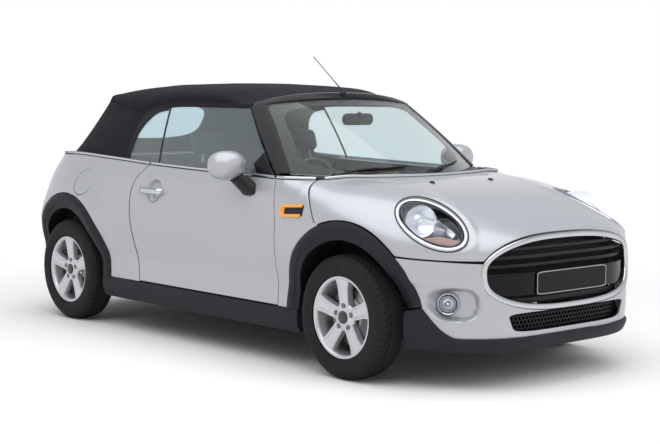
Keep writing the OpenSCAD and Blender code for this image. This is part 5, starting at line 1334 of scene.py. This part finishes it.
# Doors: painted outer skin hemmed over a steel frame, with a grained card inside; each swings on two pinned
# hinges. The skin has a round dish behind a chromed pull handle.
DOOR_LOW, DOOR_DEEP = SILL_TOP + SHUT, 105.0
HANDLE = (-470.0, 829.0)
UPRIGHT = np.array([0, 0, 1.0])
SIDES = (("left", 1), ("right", -1))


def door_net(inset, nu=101, nv=71):
    """Door face at a depth inside the skin, its ends drawn in as it goes deeper."""
    k = inset / DOOR_DEEP
    u, v = np.linspace(0, 1, nu)[:, None], np.linspace(0, 1, nv)[None, :]
    front = curve(door_front_table, mix(DOOR_LOW, belt_z(572), v)) - k * 42
    rear = curve(door_rear_table, mix(DOOR_LOW, belt_z(-560), v)) + k * 34
    x = mix(front, rear, u)
    z = mix(DOOR_LOW, belt_z(x), v)
    return stack(x, side_y(x, z) - inset, z)


def box_shell(outer, inner):
    """Closed body between two grids of as many points."""
    nu, nv = outer.shape[:2]
    n = nu * nv
    faces = lattice(nu, nv)
    i, j = np.arange(nu), np.arange(nv)
    loop = np.concatenate([i * nv, (nu - 1) * nv + j[1:], i[::-1][1:] * nv + nv - 1, j[::-1][1:-1]])
    after = np.roll(loop, -1)
    rim = np.stack([loop, loop + n, after + n, after], -1).tolist()
    back = [[v + n for v in f[::-1]] for f in faces]
    return np.concatenate([outer.reshape(-1, 3), inner.reshape(-1, 3)]), faces + back + rim


outer, inner = door_net(0.0), door_net(DOOR_DEEP)
dish = np.hypot(outer[..., 0] - HANDLE[0] - 6, (outer[..., 2] - HANDLE[1]) * 1.05)
outer[..., 1] -= 24 * smooth((72 - dish) / 26)
card = door_net(DOOR_DEEP + 2, 81, 61)
rest_x = smooth((card[..., 0] + 480) / 80) * smooth((330 - card[..., 0]) / 80)
for rest_z, reach, out in ((655, 38, 46), (420, 70, 22)):
    card[..., 1] -= out * np.exp(-((card[..., 2] - rest_z) / reach) ** 4) * rest_x
handle_x = np.concatenate([[-92, -92, -90, -84], np.linspace(-74, 74, 15), [84, 90, 92, 92]])
handle_out = np.concatenate([[-12, 6, 18, 25], 28 + 3 * np.cos(np.linspace(-1.5, 1.5, 15)), [25, 18, 6, -12]])
handle_path = stack(HANDLE[0] + handle_x, side_y(*HANDLE) + handle_out, HANDLE[1])
q = np.radians(np.arange(14) * 360 / 14)[None, :, None]
across = np.cross(unit(np.gradient(handle_path, axis=0)), UPRIGHT)
handle = tube(handle_path[:, None] + across[:, None] * (10 * np.cos(q)) + UPRIGHT * (17 * np.sin(q)))
roof_edge_table = [[-1330, 1336, 505], [-1100, 1304, 560], [-850, 1272, 592], [-700, 1304, 592],
                   [-500, RAIL_Z, RAIL_Y + 4], [120, RAIL_Z, RAIL_Y]]


def edge_z(x):
    """Height of the roof's side edge."""
    return curve([r[:2] for r in roof_edge_table], x)


def edge_y(x):
    """Half width of the roof's side edge."""
    return curve([[r[0], r[2]] for r in roof_edge_table], x)


def pane(f0, r0, f1, r1, lift, nu=41, nv=25):
    """Side glass ruled from the belt to the roof edge, and bowed out between."""
    u, v = np.linspace(0, 1, nu)[:, None], np.linspace(0, 1, nv)[None, :]
    xl, xh = mix(f0, r0, u), mix(f1, r1, u)
    low = stack(xl, half_w(belt_z(xl)) - 24, belt_z(xl) + lift)
    high = stack(xh, edge_y(xh) - 10, edge_z(xh) - SHUT - 3)
    return mix(low, high, v[..., None]) + stack(0 * u, 9 * 4 * v * (1 - v), 0 * u)


door_pane = pane(PILLAR_FOOT[0] - 20, -507, PILLAR_HEAD[0] - 14, -586, 2.5)
STRIP = [[-9, -8], [6, -8], [8, -2], [5, 7], [-9, 7]]
# The second belt trim, labelled rubber, is a black band under the chrome strip: painted shadow of the gap
# below it.
STRIP_SHADOW = [[-7, -13], [7.5, -13], [7.5, -8], [-7, -8]]
BELT_TRIMS = (("strip", STRIP, chrome, "chrome_trim"), ("rubber", STRIP_SHADOW, rubber, "black_plastic"))


def belt_path(x0, x1, n=60):
    """Upper edge of the body side between two stations."""
    x = np.linspace(x0, x1, n)
    return stack(x, side_y(x, belt_z(x)) - 5, belt_z(x) + 8)


def belt_strip(path, outline):
    """A rounded section carried along the belt: columns of outline run out of the body and up."""
    out = unit(np.cross(unit(np.gradient(path, axis=0)), UPRIGHT))
    section = round_loop(outline, 3)
    return tube(path[:, None] + out[:, None] * section[None, :, :1] + UPRIGHT * section[None, :, 1:])


c_u, c_v = np.linspace(0, 1, 9)[:, None], np.linspace(0, 1, 9)[None, :]
corner_patch = mix(door_pane[0, 0], door_pane[0, 8], (c_v * (1 - 0.55 * c_u))[..., None])
corner_patch = corner_patch + stack(-130 * c_u, 3.5, -2 + 9 * c_u)
MIRROR_C = np.array([300.0, 865, 1004])
MIRROR_X, MIRROR_Y, MIRROR_Z = 91, 103, 78
ax, az = lame(np.arange(48)[:, None] * 7.5, 2.3)
bx, by = lame(np.linspace(-88, 88, 33), 2.2)
cap = stack(MIRROR_X * ax * bx, MIRROR_Y * by, MIRROR_Z * az * bx)
cap[..., 0] = np.maximum(cap[..., 0], -38 - 4 * np.hypot(cap[..., 1] / MIRROR_Y, cap[..., 2] / MIRROR_Z))
face_r = np.linspace(0.02, 0.86, 8)
face = stack(-44.5, 96 * face_r * ax, 70 * face_r * az)
t = np.linspace(0, 1, 14)
foot_mid = np.stack([mix(388, 342, t), mix(774, 842, t), mix(878, 950, t ** 0.9)], -1)
foot_out, foot_side = np.array([0.0, -0.72, 0.69]), np.array([1.0, 0, 0])
lx, ly = lame(np.arange(32) * 11.25, 2.3)
foot = (foot_mid[:, None] + (mix(64, 46, t ** 0.7)[:, None] * lx)[..., None] * foot_side
        + (mix(40, 32, t)[:, None] * ly)[..., None] * foot_out)
belt_trims = [(f"belt_{label}_door", belt_strip(belt_path(566, -560), outline), look, slot, "", False, {})
              for label, outline, look, slot in BELT_TRIMS]
door_parts = [
    ("door_skin", box_shell(outer, inner), paint, "body_paint", "door_", False, {"bevel": 2}),
    ("door_card", grid(card), cabin_grain, "cabin_plastic", "", True, {}),
    ("door_handle", handle, chrome, "chrome_trim", "", True, {"sharp": 60}),
    ("door_pane", grid(door_pane), glass, "clear_glass", "door_glass_", False, {"wall": 4.5}), *belt_trims,
    ("window_corner", grid(corner_patch), gloss_black, "black_plastic", "", False, {"wall": 9}),
    ("mirror_cap", ball(cap + MIRROR_C), paint, "body_paint", "mirror_", False, {}),
    ("mirror_face", grid(face + MIRROR_C, True), cup_chrome, "chrome_trim", "", True, {}),
    ("mirror_foot", tube(foot), satin_black, "black_plastic", "", False, {})]
for tag, flip in SIDES:
    for label, (points, faces), look, slot, swap, inside, options in door_parts:
        piece(f"{label}_{tag}", (points * [1, flip, 1], faces), look, slot, (swap + tag,) if swap else (),
              "door_" + tag, turn=(flip < 0) != inside, **options)

# Body sides behind the doors: painted quarter panels over the rear wheels, welded to the shell; the right one
# has the round fuel flap, and both carry an upright tail lamp in a chromed oval.
BUMPER_TOP, LID_HALF, BELT_TURN, BELT_END = 615.0, 505.0, -1480, -1720
Q_RX, Q_RZ, SILL_SHARE, Q_SHARE = ARCH_REAR + 6, ARCH_RZ + 6, 0.125, 0.75
q_end = 180 - np.degrees(np.arcsin((BUMPER_TOP - AXLE_Z) / ARCH_RZ))


def quarter_net(nu=161, nv=65):
    """Outer and inner grid from sill, arch and bumper line up to the belt, the front edge pulled onto
    the door shut."""
    u, v = np.linspace(0, 1, nu), np.linspace(0, 1, nv)
    on_sill, on_side = u < SILL_SHARE, u < Q_SHARE
    s = np.clip((u - Q_SHARE) / (1 - Q_SHARE), 0, 1)
    x_sill = mix(curve(door_rear_table, SILL_TOP) - SHUT, REAR_AXLE + Q_RX, u / SILL_SHARE)
    t = np.radians(mix(0, q_end, np.clip((u - SILL_SHARE) / (Q_SHARE - SILL_SHARE), 0, 1)))
    ax, az = REAR_AXLE + Q_RX * np.cos(t), np.maximum(SILL_TOP, AXLE_Z + Q_RZ * np.sin(t))
    x_end = REAR_AXLE + Q_RX * np.cos(np.radians(q_end))
    b_tail = mix(tail_angle(x_end, BUMPER_TOP), tail_angle_y(LID_HALF, BUMPER_TOP), s)
    low_b = np.where(on_sill, tail_angle(x_sill, SILL_TOP), np.where(on_side, tail_angle(ax, az), b_tail))
    low_z = np.where(on_sill, SILL_TOP, np.where(on_side, az, BUMPER_TOP))
    gap = SHUT + 3
    x_high = mix(curve(door_rear_table, belt_z(-560)) - gap, BELT_TURN, np.minimum(u / Q_SHARE, 1))
    z_tail = belt_z(mix(BELT_TURN, BELT_END, s))
    b_turn = mix(tail_angle(BELT_TURN, z_tail), tail_angle_y(LID_HALF, z_tail), s)
    high_b = np.where(on_side, tail_angle(x_high, belt_z(x_high)), b_turn)
    high_z = np.where(on_side, belt_z(x_high), z_tail)
    z = mix(low_z[:, None], high_z[:, None], v[None, :])
    z0 = mix(low_z[0], high_z[0], v)
    fix = tail_angle(curve(door_rear_table, z0) - gap, z0) - mix(low_b[0], high_b[0], v)
    b = mix(low_b[:, None], high_b[:, None], v[None, :]) + ((1 - u) ** 2)[:, None] * fix[None, :]
    skin = tail_point(b, z)
    run = tail_point(b + 0.05, z) - tail_point(b - 0.05, z)
    inward = stack(-run[..., 1], run[..., 0], 0 * z)
    return skin, skin - 34 * inward / np.linalg.norm(inward, axis=-1, keepdims=True)


FLAP_C, FLAP_R = (-1186.0, 844.0), 82.0
flap_tilt = np.arctan2(side_y(FLAP_C[0], FLAP_C[1] - 60) - side_y(FLAP_C[0], FLAP_C[1] + 60), 120)
flap_axis = np.array([0, np.cos(flap_tilt), np.sin(flap_tilt)])
flap_at = np.array([FLAP_C[0], float(side_y(*FLAP_C)), FLAP_C[1]])
TAIL_Y, TAIL_Z, TAIL_RY, TAIL_RZ, TAIL_ROUND = 610, 770, 78, 112, 2.6


def tail_loop(off, n):
    """Width and height of n points round the tail lamp's outline, grown by off."""
    ly, lz = lame(np.arange(n) * 360 / n, TAIL_ROUND)
    return TAIL_Y + (TAIL_RY + off) * ly, TAIL_Z + (TAIL_RZ + off) * lz


def tail_at(y, z, out=0.0):
    """Points of the tail skin at a width and height, moved rearwards by out."""
    return tail_point(tail_angle_y(y, z), z) - stack(out, 0, 0)


shell, shell_faces = box_shell(*quarter_net())
for tag, flip in SIDES:
    way = [1, flip, 1]
    panel = piece("quarter_" + tag, (shell * way, shell_faces), paint, "body_paint", ("quarter_panels",),
                  turn=flip < 0)
    saws = [along_x(np.stack(tail_loop(SEAM, 84), -1) * [flip, 1], -2020, -1500)]
    if flip < 0:
        saws.append(set_on(drum(FLAP_R + 3, -26, 120, 72), flap_at, flap_axis, way))
    trim_edges(cut(panel, *saws), 2)
r = np.concatenate([np.linspace(0.01, 0.97, 14), [1.0, 1.0]])[None, :]
a = np.radians(np.arange(90) * 4)[:, None]
fx = FLAP_C[0] + FLAP_R * r * np.cos(a)
fz = FLAP_C[1] + FLAP_R * np.cos(flap_tilt) * r * np.sin(a)
drop = np.concatenate([np.zeros(14), [1.5, 12]])
flap = stack(fx, side_y(fx, fz) - drop, fz) * FLIP
piece("fuel_flap_skin", grid(flap, True), paint, "body_paint", ("fuel_flap",), "fuel_flap", turn=True)
tail_s = np.linspace(0, 1, 60)
tail_z = belt_z(mix(BELT_TURN, BELT_END, np.minimum(tail_s * 3.2, 1)))
tail_path = tail_point(mix(tail_angle(-1470, tail_z), 0, tail_s), tail_z) + stack(4, -3 * (1 - tail_s), 8)
x = np.linspace(790, 580, 30)
wing_path = stack(x, wing_y(x, np.full(30, SEAM_HIGH[1])) - 5, SEAM_HIGH[1] + 8)
belt_paths = wing_path, belt_path(-572, -1470), tail_path
# Each run again carries the chrome strip and, under it, the black band of painted shadow.
for label, outline, look, slot in BELT_TRIMS:
    piece(f"belt_{label}_body", both(*(belt_strip(path, outline) for path in belt_paths)), look, slot)
for label, outline, look, slot in BELT_TRIMS:
    piece(f"belt_{label}_bonnet", belt_strip(bonnet[6:-6, -1] + [6, 0, 7], outline), look, slot, body="bonnet")

# Tail lamps: red moulded lenses with a ringed pattern and a pale middle, in chromed bezels, screwed into
# the panels.
red_lens = finish("red_lens", (0.3, 0.003, 0.006), 0.16, vary=0.15, scale=50, grain=150, depth=0.3,
                  Specular_IOR_Level=0.35)
r = np.linspace(0.01, 1, 40)[None, :]
ly, lz = lame(np.arange(96)[:, None] * 3.75, TAIL_ROUND)
ripple = 7 + 5 * (1 - r ** 2) + 1.6 * np.sin(r * 42) * (r < 0.92) - 8 * smooth((r - 0.93) / 0.07)
lens = tail_at(TAIL_Y + TAIL_RY * r * ly, TAIL_Z + TAIL_RZ * r * lz, ripple)
piece("tail_lens", both(grid(lens, True)), red_lens, "red_lens", ("tail_lamps",), turn=True)
bezel = [tail_at(*tail_loop(off, 96), lift) for off, lift in ((2, 0), (1, 9), (-4, 12), (-9, 8), (-9, 0))]
piece("tail_bezel", both(grid(np.stack(bezel, 1), True, True)), chrome, "chrome_trim", turn=True)

# Boot lid: a painted panel that drops down on two pins at its lower corners, with a plate recess and
# a chromed grip.
PLATE_Z, GRIP_Z = 742, 842.0
z = np.linspace(BUMPER_TOP + SHUT, belt_z(BELT_END) - SHUT, 61)[None, :]
u = np.linspace(1, -1, 121)[:, None]
lid = tail_point(u * tail_angle_y(LID_HALF - SHUT, z), z)
recess = smooth((292 - np.abs(lid[..., 1])) / 16) * smooth((76 - np.abs(lid[..., 2] - PLATE_Z)) / 14)
lid[..., 0] += 16 * recess
piece("boot_lid_skin", grid(lid), paint, "body_paint", ("boot_lid",), "boot_lid", wall=24, bevel=2)
plate_x = float(tail_x(PLATE_Z)) + 14
board, rim = plate(plate_x + 6, plate_x, PLATE_Z)
piece("plate_rear", board, plate_dark, "black_plastic", body="boot_lid", turn=True)
piece("plate_rear_edge", rim, plate_pale, "black_plastic", body="boot_lid")
y = np.linspace(-190, 190, 41)
grip_path = tail_at(np.abs(y), np.full(41, GRIP_Z)) * stack(1, np.where(y < 0, -1, 1), 1)
section = round_loop([[4, -14], [-14, -12], [-20, 0], [-12, 12], [4, 14]], 3)
grip = tube(grip_path[:, None] + stack(section[:, 0], 0, section[:, 1]))
piece("boot_grip", grip, chrome, "chrome_trim", body="boot_lid", sharp=60)


# Rear bumper: painted plastic skin round the tail with a charcoal lower panel and two small reflectors,
# clipped on.
def rear_edge(z):
    """Plan angle of the rear wheel arch at a height."""
    return tail_angle(REAR_AXLE - arch_dx(z, Q_RX, Q_RZ), z)


u = np.linspace(1, -1, 141)[:, None]
z = mix(240, BUMPER_TOP - SHUT, np.sin(np.radians(90 * np.linspace(0, 1, 41))))[None, :]
rear = grid(tail_point(u * rear_edge(z), z))
piece("bumper_rear", rear, paint, "body_paint", ("rear_bumper",), wall=9, bevel=2)
z = np.linspace(238, 338, 17)[None, :]
valance = tail_point(u * rear_edge(z) * 0.985, z)
fins = 3 * smooth((np.sin(valance[..., 1] / 28) - 0.3) / 0.4) * (np.abs(valance[..., 1]) < 520)
valance = valance + normals(valance) * (4.5 + fins - 3 * smooth((z - 322) / 16))[..., None]
piece("rear_valance", grid(valance), charcoal, "charcoal_plastic", wall=4, bevel=1)
yy, zz = np.linspace(520, 660, 25)[:, None], np.linspace(392, 420, 7)[None, :]
strip = tail_at(yy, zz, 6 * np.sin(np.pi * np.linspace(0.06, 0.94, 7)))
piece("rear_reflectors", both(grid(strip)), red_lens, "red_lens", wall=5, turn=True)


# Arch and sill trims: charcoal moulded plastic with a stepped inner band, clipped over the wheel openings and
# the sills. The front pair and the rear pair end in fine seams against the sill trims.
def trim_net(x0, rx, a0, a1, nu=121):
    """Band from the arch edge inwards: stands proud of the panel, steps back near its inner edge."""
    a = np.radians(np.linspace(a0, a1, nu))[:, None]
    s = np.array([0, 0.02, 0.08, 0.18, 0.3, 0.45, 0.58, 0.64, 0.67, 0.7, 0.78, 0.88, 0.96, 1.0])[None, :]
    x = x0 + (rx - ARCH_BAND * s) * np.cos(a)
    z = AXLE_Z + (ARCH_RZ - ARCH_BAND * s) * np.sin(a)
    root = side_y(x0 + rx * np.cos(a), AXLE_Z + ARCH_RZ * np.sin(a))
    step = 5 * smooth((s - 0.63) / 0.06)
    return stack(x, root + 16 * np.minimum(1, 3 * s + 0.1) - 12 * s ** 2 - step, z)


bands = [grid(trim_net(*arch))
         for arch in ((FRONT_AXLE, ARCH_FRONT, 180.35, 11), (REAR_AXLE, ARCH_REAR, 175, -0.35))]
piece("arch_bands", both(*bands), charcoal, "charcoal_plastic", ("arch_trims",), wall=22, sharp=50)
x = np.linspace(804, -979, 90)[:, None]
v = np.linspace(0, 1, 21)[None, :]
z = mix(180, SILL_TOP - 2.5, v)
swell = curve([[0, -6], [0.25, 8], [0.5, 12], [0.75, 10], [1, 4]], v)
sills = grid(stack(x, side_y(x, z) + swell, z))
piece("sill_bands", both(sills), charcoal, "charcoal_plastic", ("sill_trims",), wall=26, bevel=2)

# Inner arch liners: black plastic shells from the trims in to the wheel houses, held by the same clips.
liners = []
for x0, rx, a0, a1 in ((FRONT_AXLE, ARCH_FRONT, 176, 14), (REAR_AXLE, ARCH_REAR, 172, 2)):
    a = np.radians(np.linspace(a0, a1, 61))[:, None]
    edge = side_y(x0 + rx * np.cos(a), AXLE_Z + ARCH_RZ * np.sin(a)) - 12
    y = mix(edge, 642, np.linspace(0, 1, 7)[None, :])
    inner_r = ARCH_BAND - 5
    liners.append(grid(stack(x0 + (rx - inner_r) * np.cos(a), y, AXLE_Z + (ARCH_RZ - inner_r) * np.sin(a))))
piece("arch_liners", both(*liners), satin_black, "black_plastic", wall=3)

# Soft top: woven black cloth stretched over bows and glued to the header, with a sewn-in heated rear window.
# The rear part is sewn to the roof part along a bound seam and tucked behind the belt strip.
hood_cloth = cloth_look("hood_cloth", (0.0075, 0.0083, 0.0115), 0.92, 330, 0.22, 0.3, 0.015)
hood_cloth.node_tree.nodes["Principled BSDF"].inputs["Specular IOR Level"].default_value = 0.18
ROOF_REAR = -1330.0


def roof_point(x, s):
    """Roof cloth: from the side rail up to the centre line along a super-ellipse."""
    rise = (1 - np.abs(s) ** 3.2) ** (1 / 3.2)
    return stack(x, edge_y(x) * s, mix(edge_z(x), CAR_HEIGHT - roof_drop(x), rise))


def hood_foot(s):
    """Lower hem: along the belt and round the tail."""
    a = np.abs(s)
    z = belt_z(mix(-1720, -854, a ** 4)) + SEAM
    l0, l1 = lame(90 * a, 5)
    return stack(mix(-854, tail_x(1000) + 40, l0), np.sign(s) * (half_w(z) - 22) * l1, z)


def hood_seam(s):
    """Upper seam: across the back of the roof, then forward along the side rails."""
    a = np.abs(s)
    x = mix(ROOF_REAR, -850, np.maximum(0, a - 0.5) / 0.5)
    across = roof_point(ROOF_REAR + 0 * s, np.clip(s / 0.5, -1, 1)) - np.array([10.0, 0, 0])
    along = stack(x - 10 * (1 - a) / 0.5, np.sign(s) * edge_y(x), edge_z(x) - 10)
    return np.where((a < 0.5)[..., None], across, along)


def hood_point(s, v):
    """Rear cloth ruled from seam to hem, drawn in a little between."""
    sag = 22 * 4 * v * (1 - v) * np.maximum(0, 1 - 1.2 * np.abs(s))
    return mix(hood_seam(s), hood_foot(s), v[..., None]) - stack(-0.4 * sag, 0 * sag, sag)


s = np.sin(np.radians(90 * np.linspace(1, -1, 101)))[None, :]
x_front = mix(205, 132, s ** 2)
x = mix(x_front, ROOF_REAR, np.linspace(0, 1, 121)[:, None])
roof = roof_point(x, s + 0 * x)
header_z = mix(CAR_HEIGHT - roof_drop(205), PILLAR_HEAD[2], np.abs(s) ** 2.8)
front_drop = header_z + 2 - roof[:1, :, 2]
roof[..., 2] += front_drop * smooth((x - x_front + 300) / 300)
bows = sum(np.exp(-((x - at) / 26) ** 2) for at in (-60, -480, -900))
roof[..., 2] += 2.5 * (bows - 1) * (1 - np.abs(s) ** 4)
roof_cloth = piece("roof_cloth", grid(roof), hood_cloth, "hood_cloth", ("soft_top_roof",), wall=3)
s, v = np.linspace(1, -1, 161)[None, :], np.linspace(0, 1, 61)[:, None]
hood = hood_point(s + 0 * v, v + 0 * s)
WINDOW_S, WINDOW_V, WINDOW_MID = 0.3, 0.29, 0.45
wx, wy = lame(np.arange(96) * 3.75, 3.4)


def window_loop(k):
    """Points of the rear window's outline, grown by k from its own size."""
    return hood_point(WINDOW_S * k * wx, WINDOW_MID + WINDOW_V * k * wy)


in_window = (np.abs(s / WINDOW_S) ** 3.4 + np.abs((v - WINDOW_MID) / WINDOW_V) ** 3.4) < 1
cell_out = ~(in_window[:-1, :-1] & in_window[1:, :-1] & in_window[:-1, 1:] & in_window[1:, 1:])
rear_faces = [face for face, keep in zip(lattice(61, 161), cell_out.ravel().tolist()) if keep]
rear_shape = hood.reshape(-1, 3), rear_faces
rear_cloth = piece("rear_cloth", rear_shape, hood_cloth, "hood_cloth", ("soft_top_rear",), wall=3)
window_out = np.array([-0.75, 0, 0.66])
window = np.stack([window_loop(k) for k in np.linspace(0.02, 1.03, 16)], 1) + window_out * 5
piece("rear_window", grid(window, True), glass, "clear_glass", wall=4, turn=True)
frame_loops = [window_loop(k) + window_out * d
               for k, d in ((0.93, -5), (0.93, 7), (1.0, 10), (1.08, 7), (1.08, 1))]
piece("rear_window_frame", grid(np.stack(frame_loops, 1), True, True), rubber, "black_plastic", turn=True)
s = np.linspace(1, -1, 161)
bind = [hood_point(s, 0 * s + k) + stack(-0.5 * d, np.sign(s) * 0.5 * d, d)
        for k, d in ((0.0, 0.5), (0.004, 3.2), (0.03, 3.6), (0.055, 2.8), (0.06, 0.3))]
tuck = np.where((np.abs(s) < 0.5)[:, None], [14.0, 0, -3], stack(0, -6 * np.sign(s), 16))
piece("hood_binding", grid(np.stack([hood_seam(s) + tuck, *bind])), hood_cloth, "hood_cloth", wall=1)

# Side seals and quarter glass: fixed panes behind a dark division bar, and rubber bands under the hood's edge.
# All are pushed into channels of the hood frame.
quarter_pane = pane(-519, -845, -598, -800, -1.1)
bar = pane(-508.5, -520, -588, -599, 0.5, 7, 31)
bar[..., 1] += 2
x = np.linspace(160, -846, 100)
seal_profile = np.array([[-13, -2], [-4, 3], [3, 2], [4, -8], [2, -20], [-3, -24], [-12, -22]])
seal = stack(x, edge_y(x), edge_z(x))[:, None] + stack(0, seal_profile[:, 0], seal_profile[:, 1])


def pane_at(u, v):
    """The quarter glass carried on to the hood's edge: u back along the belt, v up to the roof edge."""
    xl, xh = mix(-519, -868, u), mix(-598, -866, u)
    low = stack(xl, half_w(belt_z(xl)) - 22.5, belt_z(xl))
    high = stack(xh, edge_y(xh) - 8.5, edge_z(xh) - SHUT - 3)
    return mix(low, high, np.asarray(v, float)[..., None]) + stack(0 * u, 9 * 4 * v * (1 - v), 0 * u)


corner_loops = []
for u_half, v_half, power in ((0.9, 0.91, 3.2), (0.92, 0.93, 3.6), (1.0, 1.0, 9)):
    lx, ly = lame(np.linspace(0, 89, 60), power)
    corner_loops.append(pane_at(u_half * lx, v_half * ly))
seal_parts = (("quarter_pane", grid(quarter_pane), glass, "clear_glass", ("quarter_glass",), {"wall": 4.5}),
              ("division_bar", grid(bar), rubber, "black_plastic", (), {"wall": 10, "bevel": 1}),
              ("corner_seal", grid(np.stack(corner_loops, 1)), rubber, "black_plastic", (), {"wall": 7}),
              ("side_seal", tube(seal), rubber, "black_plastic", (), {"sharp": 60}))
for tag, flip in SIDES:
    for label, (points, faces), look, slot, swaps, options in seal_parts:
        piece(f"{label}_{tag}", (points * [1, flip, 1], faces), look, slot, swaps, turn=flip < 0, **options)
